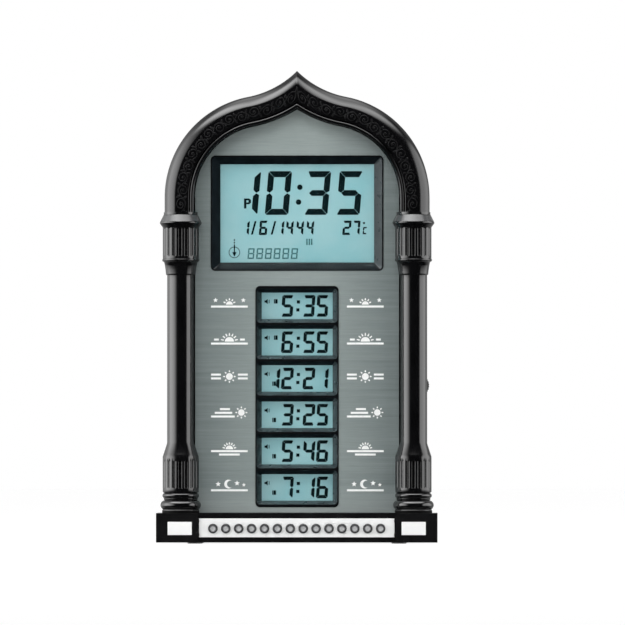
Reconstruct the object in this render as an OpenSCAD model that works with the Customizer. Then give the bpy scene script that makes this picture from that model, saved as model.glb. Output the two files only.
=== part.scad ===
// Azan clock: a free-standing black case shaped as a mosque arch. Two round
// columns on a plinth carry an ogee arch. A brushed face between them holds one
// large and six small displays, and the plinth holds a row of push keys.
// The front faces -Y, up is +Z, and the origin is the middle of the footprint
// on the table. All sizes are in millimetres.

/* [Case] */
// Height from the table to the tip of the arch
clock_h = 320; // [316:1:326]
// Depth from the plinth's end plates to the rear cover
clock_d = 48; // [47:1:54]
// Width of the case between the columns' outer edges
case_w = 176; // [174:1:180]
// Wall of the moulded shells
wall = 2.2; // [1.8:0.1:2.6]
// Front wall that carries the face panel and the columns
front_wall = 2.5; // [2:0.1:3]
// Rear cover plate
cover_t = 2.5; // [2.2:0.1:3]
// From the clock's front plane back to the seat of the columns
seat_setback = 15; // [14.6:0.1:16]
// Width of the gap between pieces that only lie beside each other
gap = 0.3; // [0.2:0.05:0.4]

/* [Arch] */
// How far the arch stands out past the case at either side
arch_overhang = 1.7; // [1.4:0.1:2]
// Height of the arch from its springing to its tip
arch_h = 85.8; // [84:0.2:88]
// Height of the arch's straight feet above the capitals
arch_foot_h = 10; // [8:0.5:12]
// Radius of the round shoulders
shoulder_r = 69.4; // [68:0.2:71]
// Radius of the hollow curves that rise to the tip
tip_r = 64.8; // [62:0.2:68]
// Width of the arch moulding, seen from the front
arch_band = 20.2; // [19:0.2:20.6]
// Height of the arch moulding above its seat
arch_rise = 9; // [8:0.2:11]
// Radius of the moulding's outer edge
arch_round = 7; // [5:0.2:7.6]
// Radius of the bead along the moulding's inner edge
bead_r = 1.4; // [1:0.1:1.5]
// Thickness of the moulding, which is hollow behind
trim_wall = 1.8; // [1.4:0.1:2.2]

/* [Columns] */
// Radius of the plain shaft
shaft_r = 9.2; // [8.6:0.1:9.2]
// Radius of the fluted drums
drum_r = 12.2; // [11.6:0.1:12.6]
// Radius of the base ring
base_ring_r = 13.6; // [13:0.1:14]
// Radius of the capital's flared ring
cap_ring_r = 13.7; // [13.2:0.1:14]
// Height of the lower drum
base_drum_h = 24; // [20:0.5:26]
// Height of the upper drum
cap_drum_h = 24; // [20:0.5:26]
// Height of the neck under the upper drum
neck_h = 7.5; // [6:0.5:10]
// Height of the cone between the shaft and the lower drum
cone_h = 8; // [6:0.5:10]
// Flutes around the front half of a drum
flute_count = 9; // [5:1:11]
// Radius of a flute
flute_r = 1.3; // [0.9:0.1:1.5]

/* [Plinth] */
// How far the plinth stands out past the case at either side
plinth_ledge = 7; // [6:0.5:10]
// Height of the plinth's top above the table
plinth_top = 20.6; // [20.4:0.1:22]
// Width of each end block under a column
end_block_w = 28.1; // [27.6:0.1:28.6]
// From the key panel's end to the end block beside it
block_gap = 0.9; // [0.6:0.1:1.2]
// How far the middle of the plinth lies behind its end blocks
middle_setback = 2.4; // [2:0.1:2.8]
// Height of the rubber feet below the plinth
foot_h = 0.8; // [0.6:0.1:1.2]
// Radius of a rubber foot
foot_r = 5; // [4:0.5:6]
// Thickness of the bottom cover
bottom_t = 2; // [1.6:0.1:2.2]
// Width of an end plate
end_plate_w = 16.3; // [14:0.1:18]
// Height of an end plate
end_plate_h = 8.9; // [8:0.1:10]
// Height of an end plate's middle above the table
end_plate_z = 10.3; // [10:0.1:10.6]

/* [Keys] */
// Number of keys
key_count = 14; // [10:1:14]
// Height of the key row above the table
key_z = 10.2; // [9.8:0.1:10.4]
// Radius of a key's cap
key_r = 2.95; // [2.6:0.05:3]
// How far a key stands out of its panel
key_proud = 1.6; // [1.2:0.1:1.7]
// Travel of a key
key_travel = 0.6; // [0.3:0.1:0.8]
// From the last key's middle to the key panel's end
key_margin = 9.385; // [8.5:0.1:9.7]
// Height of the key panel
key_panel_h = 12.7; // [12.4:0.1:12.8]
// Thickness of the key panel
key_panel_t = 1.6; // [1.4:0.1:1.8]
// Side of a key switch's body
switch_w = 6.2; // [6:0.1:6.4]
// Height of a key switch's body
switch_h = 3.5; // [3.3:0.1:3.8]
// Radius of the stem that a key's switch guides
stem_r = 1.7; // [1.4:0.1:1.9]

/* [Displays] */
// Thickness of the brushed face panel
panel_t = 1.5; // [1.2:0.1:2]
// From the face panel's side to the main display's bezel
main_margin = 10.95; // [10.8:0.1:12]
// Height of the main display's bezel
main_bezel_h = 77.8; // [76:0.1:78.4]
// Height of that bezel's upper edge above the arch's springing
main_top = 28.3; // [27:0.1:28.5]
// Width that each sloping wall of a bezel covers
bezel_slope = 5.6; // [4.8:0.1:6]
// Width of the small displays' bezel
row_bezel_w = 56.1; // [55.5:0.1:57]
// From the main display's bezel down to the small displays' bezel
row_gap = 10.55; // [9:0.1:12]
// From the plinth up to the small displays' bezel
row_foot = 4.05; // [3.8:0.05:6]
// Number of small displays
row_count = 6; // [5:1:6]
// Height of the dark bar between two small windows
row_bar = 6.6; // [6.2:0.1:7.6]
// Width that a small window's side slopes cover
row_slope = 4; // [3.4:0.1:4.2]
// Corner radius of the bezels
bezel_corner = 3; // [2:0.2:4]
// Height of a bezel's rim above the face panel
bezel_proud = 0.4; // [0.2:0.1:0.8]
// Overlap of a bezel's rear flange behind the front wall
bezel_overlap = 1.5; // [1.2:0.1:1.5]
// Thickness of a bezel's rear flange
bezel_flange = 1.6; // [1.2:0.1:2]
// Thickness of the clear lenses
lens_t = 1; // [0.8:0.1:1.5]
// Thickness of the display glass with its polarisers
glass_t = 2.2; // [1.8:0.1:2.8]
// Thickness of a backlight
backlight_t = 2; // [1.5:0.1:2.5]
// Height of the rubber contact strips between glass and board
strip_h = 3.7; // [3.4:0.1:4]

/* [Boards] */
// Thickness of the circuit boards
board_t = 1.6; // [1.2:0.1:1.6]
// From the main board's side to the case wall
board_margin = 16.8; // [16.2:0.2:18]
// From the plinth up to the main board
board_foot = 7.4; // [6:0.2:8]
// Height of the main board's upper edge above the arch's springing
board_top = 37.8; // [37:0.2:39]
// Radius of the posts that carry the main board
board_post_r = 2.5; // [2.2:0.1:2.6]
// Width of the flat cable to the key board
ribbon_w = 20; // [16:1:24]
// Thickness of the flat cable
ribbon_t = 0.8; // [0.6:0.1:1]

/* [Battery bay] */
// Number of cells
cell_count = 3; // [2:1:3]
// Radius of a cell
cell_r = 7.2; // [7:0.1:7.3]
// Length of a cell with its nub
cell_len = 50.5; // [49:0.5:51]
// Distance between neighbouring cells
cell_pitch = 15.2; // [15:0.1:15.6]
// Height of the bay's middle above the table
bay_z = 66; // [64:0.5:70]
// Length of a contact spring when a cell presses it
spring_len = 5.4; // [4.5:0.1:6.5]
// Thickness of the battery door
door_t = 2; // [1.6:0.1:2.2]
// Radius of the door's hinge pins
door_pin_r = 1.2; // [1:0.05:1.3]

/* [Speaker, jack and volume] */
// Radius of the speaker
speaker_r = 20; // [18:0.5:21]
// Depth of the speaker
speaker_d = 13; // [11:0.5:14]
// Height of the speaker's middle above the table
speaker_z = 150; // [140:1:160]
// Radius of the power jack's socket
jack_r = 3.05; // [2.8:0.05:3.2]
// Radius of the power jack's centre pin
jack_pin_r = 1; // [0.9:0.05:1.1]
// Radius of the volume wheel
wheel_r = 8; // [7.5:0.1:8.2]
// Thickness of the volume wheel
wheel_t = 2.6; // [2.2:0.1:2.8]
// How far the volume wheel stands out of the case
wheel_proud = 1.4; // [1:0.1:1.6]
// From the middle side screw down to the volume wheel's axis
wheel_drop = 21; // [20:0.5:24]

/* [Fasteners] */
// Radius of a case screw's thread
screw_r = 1.15; // [1:0.05:1.2]
// Radius of a case screw's head
screw_head_r = 2.7; // [2.4:0.1:2.8]
// Height of a case screw's head
screw_head_h = 1.5; // [1.2:0.1:1.6]
// Radius of the posts that take the case screws
post_r = 3.5; // [3:0.1:3.6]
// Radius of the keyhole's round entry in the rear cover
keyhole_r = 4.5; // [4:0.1:5]
// Width of the keyhole's slot
keyhole_slot = 4.4; // [3.6:0.1:4.8]

/* [Hidden] */
KEYS = [for (i = [1:key_count]) str("key_", i)];
ROWS = [for (i = [1:row_count]) str("small_lcd_", i)];

$fn = 64;
cut = 1; // how far a cutting solid reaches past the face that it opens
reach = 400; // larger than the clock, for half-space cuts
fit = 0.05; // radial clearance of a running fit
screw_fit = 0.1; // radial clearance of a thread in its post

// Depths, from the front to the back
front_y = -clock_d / 2;
back_y = clock_d / 2;
seat_y = front_y + seat_setback;
panel_y = seat_y - panel_t;
bezel_y = panel_y - bezel_proud;
shell_y = seat_y + front_wall;
lens_y = shell_y + bezel_flange;
glass_y = lens_y + lens_t;
strip_y = glass_y + glass_t;
board_y = strip_y + strip_h;
board_back_y = board_y + board_t;
cover_y = back_y - cover_t;

// The arch's construction. Its shoulder turns about shoulder_c up to the angle
// turn_a, where the hollow curve about hollow_c takes over and meets the tip.
case_hw = case_w / 2;
arch_hw = case_hw + arch_overhang;
spring_z = clock_h - arch_h;
capital_z = spring_z - arch_foot_h;
shoulder_c = [arch_hw - shoulder_r, spring_z];
tip_dist = sqrt(pow(shoulder_c[0], 2) + pow(arch_h, 2));
arm = shoulder_r + tip_r;
turn_a = atan2(arch_h, -shoulder_c[0])
    - acos((pow(tip_dist, 2) + pow(arm, 2) - pow(tip_r, 2)) / (2 * arm * tip_dist));
hollow_c = shoulder_c + arm * [cos(turn_a), sin(turn_a)];
tip_a = 180 + atan2(hollow_c[1] - clock_h, hollow_c[0]);
lap_a = 0.5; // how far the hollow curve runs into the shoulder
lap_inset = 0.03; // and how much slimmer it is, so that the two join cleanly

// Columns and plinth
column_x = case_hw - shaft_r;
base_ring_h = 5.4;
base_bead_h = 4;
rim_h = 1.4;
neck_r = shaft_r + 1.1;
neck_rim_h = 1.2;
flute_out = 0.3; // how far a flute's axis lies outside the drum
cap_ring_h = 8;
base_foot_h = 4;
panel_hw = column_x - shaft_r - gap;
block_y = front_y + 0.4;
middle_y = block_y + middle_setback;
plinth_w = case_w + 2 * plinth_ledge;
block_x = plinth_w / 2 - end_block_w;
key_panel_w = 2 * (block_x - block_gap);
key_pitch = (key_panel_w - 2 * key_margin) / (key_count - 1);
deck_z = plinth_top - wall;
bottom_z = foot_h + bottom_t;
foot_inset = 1;

// Keys. The flange rests behind the panel, and the stem runs in its switch.
key_face_y = middle_y - 0.6;
key_flange_r = key_r + 0.65;
key_flange_t = 1;
key_flange_y = key_face_y + key_panel_t + 0.1;
switch_y = key_flange_y + key_flange_t + key_travel + gap;
key_board_y = switch_y + switch_h;
stem_len = 3.2;
key_row_hw = (key_count - 1) / 2 * key_pitch + key_r + 2.2;
key_board_w = key_panel_w + 10;
key_board_low = 3.4;
key_board_h = 14.6;
key_post_x = key_board_w / 2 - 2.8;
key_post_z = [6, 15.4];

// Display stacks
main_bezel_w = 2 * (panel_hw - main_margin);
main_z = spring_z + main_top - main_bezel_h / 2;
main_low = main_z - main_bezel_h / 2;
row_low = plinth_top + row_foot;
row_bezel_h = main_low - row_gap - row_low;
row_z = row_low + row_bezel_h / 2;
row_pitch = (row_bezel_h - 1.9) / row_count;
row_window_h = row_pitch - row_bar;
main_win = [main_bezel_w - 2 * bezel_slope - 1.3, main_bezel_h - 2 * bezel_slope];
main_glass = [main_win[0] + 7.8, main_win[1] + 9.4];
holder_wall = 2.8;
pocket_fit = 0.2;
row_win = [row_bezel_w - 2 * row_slope, row_window_h];
row_glass = [row_win[0] + 5, row_window_h + 4];
row_lens = [row_glass[0], row_pitch * (row_count - 1) + row_glass[1]];
strip_w = 2;
slope_lip = 0.8;

// Main board posts, case posts and screws
board_w = 2 * (case_hw - wall - board_margin);
board_low_z = plinth_top + board_foot;
board_high_z = spring_z + board_top;
board_post_x = board_w / 2 - 4;
board_posts = [for (z = [board_low_z + 6, row_z + 10.6, main_low - 6.2, board_high_z - 5], s = [-1, 1])
    [s * board_post_x, z]];
case_post_x = case_hw - wall - 9.8;
side_mid_z = (plinth_top + spring_z) / 2 + 0.6;
case_posts = concat(
    [for (z = [plinth_top + 15.4, side_mid_z, spring_z - 12.2], s = [-1, 1])
        [s * case_post_x, z]],
    [for (s = [-1, 1]) [s * 40, spring_z + 46.8]]);
case_screw_len = 11;
board_screw_r = 1;
board_screw_head_r = 2.2;
board_screw_head_h = 1.4;
base_screw_x = [-58, -20, 20, 58];
base_screw_y = 12;
base_post_h = 9;
bottom_posts = [for (x = [-1, 1], y = [-1, 1]) [x * (plinth_w / 2 - 11), y * 14 + 1]];

// Battery bay, its door and hinge
bay_hx = cell_len / 2 + spring_len / 2 + 0.55;
bay_hz = cell_pitch * cell_count / 2 + 1.2;
bay_wall = 1.5;
cell_y = back_y - door_t - gap - cell_r;
bay_floor_y = cell_y - cell_r - gap - bay_wall;
contact_t = 0.5;
knuckle_r = door_t + 0.6;
hinge_y = back_y - knuckle_r;
hinge_z = bay_z + bay_hz + 1.5;
door_hx = bay_hx + 1.2;
door_low_z = bay_z - bay_hz - 0.7;
bay_block_hx = door_hx + gap + 3;
pin_len = 1.6;
latch_w = 10;

// Speaker, jack, volume wheel
speaker_flange = 1;
magnet_r = 9;
magnet_h = 5;
speaker_screw_r = speaker_r + 2.3;
jack_x = case_hw - 26;
jack_z = 56;
jack_box = [11, 10.5, 11];
jack_nose_r = 4.3;
jack_depth = 9.5;
wheel_x = case_hw + wheel_proud - wheel_r;
wheel_y = 4.6;
wheel_z = side_mid_z - wheel_drop;
wheel_hub_r = 1.5;
pot_y = wheel_y + wheel_t + 0.5;
pot_t = 3;
pot_w = 8.4;
volume_board = [14, 25];
volume_post = [-2.9, -14.5];
sensor_z = board_high_z - 10;
sound_socket = [30, 118];
power_socket = [50, 66];

// ---- Shared shapes ----

// Extrudes a front-view outline from y0 over the depth t
module slab(y0, t) translate([0, y0 + t, 0]) rotate([90, 0, 0]) linear_extrude(t) children();

// A round bar along Y from y0 over the length len
module bar(x, z, y0, len, r) translate([x, y0 + len, z]) rotate([90, 0, 0]) cylinder(h = len, r = r);

// A box given by its lowest and highest corners
module box(low, high) translate(low) cube(high - low);

// A rectangle with its middle at [0, z]
module pane(size, z) translate([-size[0] / 2, z - size[1] / 2]) square(size);

// A rectangle with round corners and its middle at [0, z]
module soft_pane(size, z, r) {
    pane([size[0] - 2 * r, size[1]], z);
    pane([size[0], size[1] - 2 * r], z);
    for (sx = [-1, 1], sz = [-1, 1])
        translate([sx * (size[0] / 2 - r), z + sz * (size[1] / 2 - r)]) circle(r);
}

// Points on an arc about c, from angle a0 to a1
function arc(c, r, a0, a1, steps = 6) =
    [for (i = [0:steps]) let (a = a0 + (a1 - a0) * i / steps) c + r * [cos(a), sin(a)]];

// Joins the parts of an arched outline whose shoulder has radius r, well inside its edge
module core(r) {
    low = spring_z - 1;
    turn = [cos(turn_a), sin(turn_a)];
    side = [-turn[1], turn[0]];
    end = shoulder_c + (r - 3) * turn;
    translate([0, low]) square([shoulder_c[0] + r - 3, 2]);
    polygon([shoulder_c - side, end - side, end + side, shoulder_c + side]);
}

// Right half of the case's front outline, drawn in by inset
module half_outline(inset) {
    core(shoulder_r - inset);
    translate([0, plinth_top + inset]) square([case_hw - inset, capital_z - plinth_top]);
    translate([0, capital_z + inset])
        square([arch_hw - inset, spring_z - capital_z - inset]);
    intersection() {
        translate(shoulder_c) circle(shoulder_r - inset);
        polygon([shoulder_c, shoulder_c + [arm, 0], shoulder_c + [arm, arm], hollow_c]);
    }
    difference() {
        polygon([[0, spring_z], shoulder_c, hollow_c, [0, hollow_c[1]]]);
        translate(hollow_c) circle(tip_r + inset);
    }
}

module outline(inset) {
    half_outline(inset);
    mirror([1, 0]) half_outline(inset);
}

// Right half of the face panel's outline, under the arch and between the columns
module half_face(inset) {
    low = plinth_top + gap;
    core(shoulder_r - arch_band - inset);
    translate([0, low]) square([panel_hw - inset, spring_z - low]);
    intersection() {
        translate(shoulder_c) circle(shoulder_r - arch_band - inset);
        polygon([shoulder_c, shoulder_c + [arm, 0], shoulder_c + [arm, arm], hollow_c]);
    }
    difference() {
        polygon([[0, spring_z], shoulder_c, hollow_c, [0, hollow_c[1]]]);
        translate(hollow_c) circle(tip_r + arch_band + inset);
    }
}

// A round tube swept along points, none of whose steps runs along X
function unit(v) = v / norm(v);
function step_dir(p, i) = unit(p[min(i + 1, len(p) - 1)] - p[max(i - 1, 0)]);
function ring(p, i, r, sides) =
    let (t = step_dir(p, i), u = unit(cross(t, [1, 0, 0])), v = cross(t, u))
    [for (k = [0:sides - 1]) p[i] + r * (cos(360 * k / sides) * u + sin(360 * k / sides) * v)];
module tube(p, r, sides = 8) {
    n = len(p);
    points = [for (i = [0:n - 1]) each ring(p, i, r, sides)];
    skin = [for (i = [0:n - 2], k = [0:sides - 1])
        let (a = i * sides + k, b = i * sides + (k + 1) % sides)
        each [[a, b, b + sides], [a, b + sides, a + sides]]];
    first = [for (k = [1:sides - 2]) [0, k + 1, k]];
    last = [for (k = [1:sides - 2]) [(n - 1) * sides, (n - 1) * sides + k, (n - 1) * sides + k + 1]];
    polyhedron(points = points, faces = concat(skin, first, last));
}

// A case screw along Y: its head's outer face is at y0 and its tip points to -Y
module screw_back(x, z, y0, len, r, head_r, head_h) {
    bar(x, z, y0 - head_h, head_h, head_r);
    bar(x, z, y0 - head_h - len, len, r);
}

// ---- Case ----

module front_housing() color([0.05, 0.05, 0.055]) difference() {
    union() {
        slab(seat_y, front_wall) outline(0);
        slab(shell_y, cover_y - shell_y) difference() {
            outline(0);
            outline(wall);
        }
        for (p = case_posts) bar(p[0], p[1], shell_y, cover_y - shell_y, post_r);
        for (p = board_posts) bar(p[0], p[1], shell_y, board_y - shell_y, board_post_r);
        bar(wheel_x + volume_post[0], wheel_z + volume_post[1], shell_y,
            pot_y + pot_t - shell_y, board_post_r);
        for (x = base_screw_x)
            translate([x, base_screw_y, plinth_top]) cylinder(h = base_post_h + wall, r = post_r);
    }
    slab(seat_y - cut, front_wall + 2 * cut)
        soft_pane([main_bezel_w + gap, main_bezel_h + gap], main_z, bezel_corner + gap / 2);
    slab(seat_y - cut, front_wall + 2 * cut)
        soft_pane([row_bezel_w + gap, row_bezel_h + gap], row_z, bezel_corner + gap / 2);
    for (p = case_posts)
        bar(p[0], p[1], cover_y - case_screw_len, case_screw_len + cut, screw_r + screw_fit);
    for (p = board_posts)
        bar(p[0], p[1], shell_y + 1, board_y - shell_y, board_screw_r + screw_fit);
    bar(wheel_x + volume_post[0], wheel_z + volume_post[1], pot_y,
        pot_t + cut, board_screw_r + screw_fit);
    for (x = base_screw_x) translate([x, base_screw_y, plinth_top - cut])
        cylinder(h = base_post_h, r = screw_r + screw_fit);
    wheel_slot();
    cable_hole(plinth_top);
}

// The slot in the right side wall that the volume wheel stands out of
module wheel_slot() {
    half_z = sqrt(pow(wheel_r, 2) - pow(case_hw - wall - wheel_x, 2)) + 0.5;
    box([case_hw - wall - 0.1, wheel_y - 0.5, wheel_z - half_z],
        [case_hw + cut, wheel_y + wheel_t + 0.5, wheel_z + half_z]);
}

// The hole that lets the flat cable down through a floor at height z
module cable_hole(z) box([-ribbon_w / 2 - 2, board_back_y - 1, z - wall - cut],
    [ribbon_w / 2 + 2, board_back_y + 6, z + wall + cut]);

// The arch moulding's section: s runs inward from the outer edge, h off the seat
module arch_section(inset = 0) {
    bead_s = arch_band - bead_r - 0.2;
    ledge = arch_rise - bead_r - 0.3;
    groove_s = bead_s - bead_r - 0.5;
    web_s = groove_s - trim_wall + inset;
    floor_h = ledge - 0.4 - inset;
    roof_h = arch_rise - trim_wall - 0.3 + inset;
    polygon(concat([[inset, inset]],
        arc([arch_round, arch_rise - arch_round], arch_round - inset, 180, 90),
        [[groove_s - inset, arch_rise - inset], [groove_s - inset, floor_h],
         [bead_s - bead_r + inset, floor_h]],
        arc([bead_s, ledge], bead_r - inset, 180, 0),
        [[arch_band - inset, floor_h], [arch_band - inset, inset], [web_s, inset], [web_s, roof_h],
         [arch_round, roof_h], [trim_wall - inset, arch_rise - arch_round], [trim_wall - inset, inset]]));
}

// The hollow curve is a hair slimmer and laps a little way into the shoulder
module half_arch() {
    translate([arch_hw, seat_y, capital_z]) rotate([0, 0, 180])
        linear_extrude(spring_z - capital_z) arch_section();
    translate([shoulder_c[0], seat_y, shoulder_c[1]]) rotate([90, 0, 0])
        rotate_extrude(angle = turn_a) translate([shoulder_r, 0]) mirror([1, 0]) arch_section();
    intersection() {
        translate([hollow_c[0], seat_y, hollow_c[1]]) rotate([90, 0, 0])
            rotate([0, 0, tip_a - 1])
                rotate_extrude(angle = turn_a + 180 - tip_a + 1 + lap_a)
                    translate([tip_r, 0]) arch_section(lap_inset);
        box([0, front_y - cut, spring_z], [reach, back_y, reach]);
    }
}

module arch_moulding() color([0.04, 0.04, 0.045]) {
    half_arch();
    mirror([1, 0, 0]) half_arch();
}

// The right column's outline: radius against height, from the plinth up
base_ring_z = plinth_top + base_foot_h;
base_bead_z = base_ring_z + base_ring_h + 0.6;
drum_low = base_bead_z + base_bead_h + 1.8;
drum_high = capital_z - cap_ring_h - 1;
cap_drum_z = drum_high - cap_drum_h;
column_line = concat(
    [[0, plinth_top], [drum_r + 0.4, plinth_top], [drum_r + 0.4, base_ring_z]],
    arc([base_ring_r - base_ring_h / 2, base_ring_z + base_ring_h / 2], base_ring_h / 2, -90, 90),
    [[drum_r - 0.6, base_bead_z]],
    arc([drum_r - base_bead_h / 2 + 0.3, base_bead_z + base_bead_h / 2], base_bead_h / 2, -90, 90),
    [[drum_r - 0.6, drum_low - rim_h], [drum_r + 0.3, drum_low - rim_h], [drum_r + 0.3, drum_low],
     [drum_r, drum_low], [drum_r, drum_low + base_drum_h], [drum_r - 0.8, drum_low + base_drum_h + 1],
     [shaft_r, drum_low + base_drum_h + cone_h],
     [shaft_r, cap_drum_z - rim_h - neck_h - neck_rim_h],
     [neck_r + 0.3, cap_drum_z - rim_h - neck_h - neck_rim_h], [neck_r + 0.3, cap_drum_z - rim_h - neck_h],
     [neck_r, cap_drum_z - rim_h - neck_h], [neck_r + 0.6, cap_drum_z - rim_h],
     [drum_r + 0.4, cap_drum_z - rim_h], [drum_r + 0.4, cap_drum_z], [drum_r, cap_drum_z],
     [drum_r, drum_high], [cap_ring_r, drum_high + 1], [cap_ring_r, drum_high + 2.2],
     [drum_r - 0.8, capital_z], [0, capital_z]]);

// One drum's flutes across its front half, between the heights low and high
module flutes(low, high) for (i = [0:flute_count - 1])
    let (a = 180 + 180 * (i + 0.5) / flute_count)
    translate([column_x + (drum_r + flute_out) * cos(a), seat_y + (drum_r + flute_out) * sin(a), low])
        cylinder(h = high - low, r = flute_r);

// Front half of a column, hollow behind, with flutes in its two drums
module column() difference() {
    translate([column_x, seat_y, 0]) rotate([0, 0, 180])
        rotate_extrude(angle = 180) polygon(column_line);
    translate([column_x, seat_y, base_ring_z])
        cylinder(h = drum_high - base_ring_z, r = shaft_r - trim_wall);
    box([0, panel_y - 0.1, 0], [panel_hw + gap, back_y, reach]);
    flutes(drum_low + 0.8, drum_low + base_drum_h - 4);
    flutes(cap_drum_z + 3, drum_high - 1.6);
}

module column_left() color([0.045, 0.045, 0.05]) mirror([1, 0, 0]) column();

module column_right() color([0.045, 0.045, 0.05]) column();

// ---- Plinth ----

module plinth_block(inset, low, high) {
    box([-plinth_w / 2 + inset, middle_y + inset, low], [plinth_w / 2 - inset, back_y - inset, high]);
    for (s = [-1, 1]) box(
        [s > 0 ? block_x + inset : -plinth_w / 2 + inset, block_y + inset, low],
        [s > 0 ? plinth_w / 2 - inset : -block_x - inset, middle_y + inset + cut, high]);
}

module plinth() color([0.03, 0.03, 0.03]) difference() {
    union() {
        difference() {
            plinth_block(0, foot_h, plinth_top);
            plinth_block(wall, foot_h - cut, deck_z);
        }
        for (p = bottom_posts) translate([p[0], p[1], bottom_z])
            cylinder(h = deck_z - bottom_z + wall / 2, r = post_r);
        for (s = [-1, 1], z = key_post_z)
            bar(s * key_post_x, z, block_y + wall / 2, key_board_y - block_y - wall / 2, board_post_r);
    }
    slab(middle_y - cut, wall + 2 * cut)
        pane([2 * key_row_hw, 2 * key_flange_r + 2.4], key_z);
    slab(middle_y - cut, key_face_y + key_panel_t - middle_y + cut)
        pane([key_panel_w + gap, key_panel_h + gap], foot_h + (plinth_top - foot_h) / 2);
    for (s = [-1, 1]) box([s * end_plate_x - end_plate_w / 2 - 0.1, block_y - cut,
            end_plate_z - end_plate_h / 2 - 0.1],
        [s * end_plate_x + end_plate_w / 2 + 0.1, block_y + end_plate_seat,
            end_plate_z + end_plate_h / 2 + 0.1]);
    for (p = bottom_posts) translate([p[0], p[1], bottom_z - cut])
        cylinder(h = 9, r = screw_r + screw_fit);
    for (s = [-1, 1], z = key_post_z)
        bar(s * key_post_x, z, key_board_y - 4, 4 + cut, board_screw_r + screw_fit);
    for (x = base_screw_x) translate([x, base_screw_y, deck_z - cut])
        cylinder(h = wall + 2 * cut, r = screw_r + 0.4);
    cable_hole(plinth_top);
}
end_plate_x = plinth_w / 2 - end_block_w / 2 - 2;
end_plate_seat = 0.8;

module bottom_cover() color([0.06, 0.06, 0.06]) difference() {
    plinth_block(wall + 0.2, foot_h, bottom_z);
    for (p = bottom_posts) translate([p[0], p[1], 0]) {
        cylinder(h = bottom_z + cut, r = screw_r + 0.4);
        cylinder(h = foot_h + screw_head_h, r = screw_head_r + 0.3);
    }
    for (p = feet) translate([p[0], p[1], 0]) cylinder(h = foot_h + foot_inset, r = foot_r + 0.1);
}
feet = [for (x = [-1, 1], y = [-1, 1]) [x * (plinth_w / 2 - 26), y * 14 + 1]];

module rubber_feet() color([0.12, 0.12, 0.12])
    for (p = feet) translate([p[0], p[1], 0]) cylinder(h = foot_h + foot_inset, r = foot_r);

module end_plates() color([0.85, 0.86, 0.84]) for (s = [-1, 1])
    box([s * end_plate_x - end_plate_w / 2, front_y, end_plate_z - end_plate_h / 2],
        [s * end_plate_x + end_plate_w / 2, block_y + end_plate_seat, end_plate_z + end_plate_h / 2]);

// ---- Keys ----

function key_x(i) = (i - (key_count + 1) / 2) * key_pitch;

module key_panel() color([0.88, 0.89, 0.87]) difference() {
    slab(key_face_y, key_panel_t) pane([key_panel_w, key_panel_h], foot_h + (plinth_top - foot_h) / 2);
    for (i = [1:key_count])
        bar(key_x(i), key_z, key_face_y - cut, key_panel_t + 2 * cut, key_r + gap);
}

module key(i) color([0.1, 0.1, 0.1]) {
    face = key_flange_y + key_flange_t - key_face_y + key_proud;
    translate([key_x(i), key_flange_y + key_flange_t, key_z]) rotate([90, 0, 0])
        rotate_extrude() polygon([[0, -stem_len], [stem_r, -stem_len], [stem_r, 0],
            [key_flange_r, 0], [key_flange_r, key_flange_t], [key_r, key_flange_t],
            [key_r, face - 0.9], [key_r * 0.85, face - 0.4], [key_r * 0.5, face - 0.08], [0, face]]);
}

module key_board() color([0.1, 0.3, 0.15]) difference() {
    slab(key_board_y, board_t) translate([-key_board_w / 2, key_board_low])
        square([key_board_w, key_board_h]);
    for (s = [-1, 1], z = key_post_z)
        bar(s * key_post_x, z, key_board_y - cut, board_t + 2 * cut, board_screw_r + 0.3);
}

module key_switches() color([0.2, 0.2, 0.2]) for (i = [1:key_count]) difference() {
    translate([key_x(i), switch_y + switch_h / 2, key_z]) cube([switch_w, switch_h, switch_w], center = true);
    bar(key_x(i), key_z, switch_y - cut, switch_h - 0.4 + cut, stem_r + fit);
}

// ---- Face and displays ----

module face_panel() color([0.52, 0.56, 0.56]) difference() {
    slab(panel_y, panel_t) {
        half_face(gap);
        mirror([1, 0]) half_face(gap);
    }
    slab(panel_y - cut, panel_t + 2 * cut)
        soft_pane([main_bezel_w + gap, main_bezel_h + gap], main_z, bezel_corner + gap / 2);
    slab(panel_y - cut, panel_t + 2 * cut)
        soft_pane([row_bezel_w + gap, row_bezel_h + gap], row_z, bezel_corner + gap / 2);
}

// A window's sloping walls, from the rim at the front to the opening at the back
module funnel(rim, win, z) hull() {
    slab(bezel_y - 0.1, 0.1) soft_pane(rim, z, bezel_corner - slope_lip, $fn = 24);
    slab(lens_y - 0.4, 0.1) soft_pane(win, z, 1, $fn = 24);
}

module bezel_blank(size, z) {
    slab(bezel_y, shell_y - bezel_y + 0.5) soft_pane(size, z, bezel_corner);
    slab(shell_y, bezel_flange)
        pane([size[0] + 2 * bezel_overlap, size[1] + 2 * bezel_overlap], z);
}

module main_bezel() color([0.02, 0.02, 0.02]) difference() {
    bezel_blank([main_bezel_w, main_bezel_h], main_z);
    funnel([main_bezel_w - 2 * slope_lip, main_bezel_h - 2 * slope_lip], main_win, main_z);
    slab(shell_y, bezel_flange + cut) pane(main_win, main_z);
}

function row_mid(i) = row_z + ((row_count + 1) / 2 - i) * row_pitch;

module small_bezel() color([0.02, 0.02, 0.02]) difference() {
    bezel_blank([row_bezel_w, row_bezel_h], row_z);
    for (i = [1:row_count]) {
        funnel([row_bezel_w - 2 * slope_lip, row_pitch - 1.6], row_win, row_mid(i));
        slab(shell_y, bezel_flange + cut) pane(row_win, row_mid(i));
    }
}

module main_lens() color([0.75, 0.85, 0.85, 0.3]) slab(lens_y, lens_t) pane(main_glass, main_z);

module main_lcd() color([0.55, 0.72, 0.74]) slab(glass_y, glass_t) pane(main_glass, main_z);

module main_backlight() color([0.9, 0.93, 0.95])
    slab(strip_y, backlight_t) pane([main_glass[0] - 2, main_glass[1] - 4 * strip_w - 1], main_z);

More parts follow.
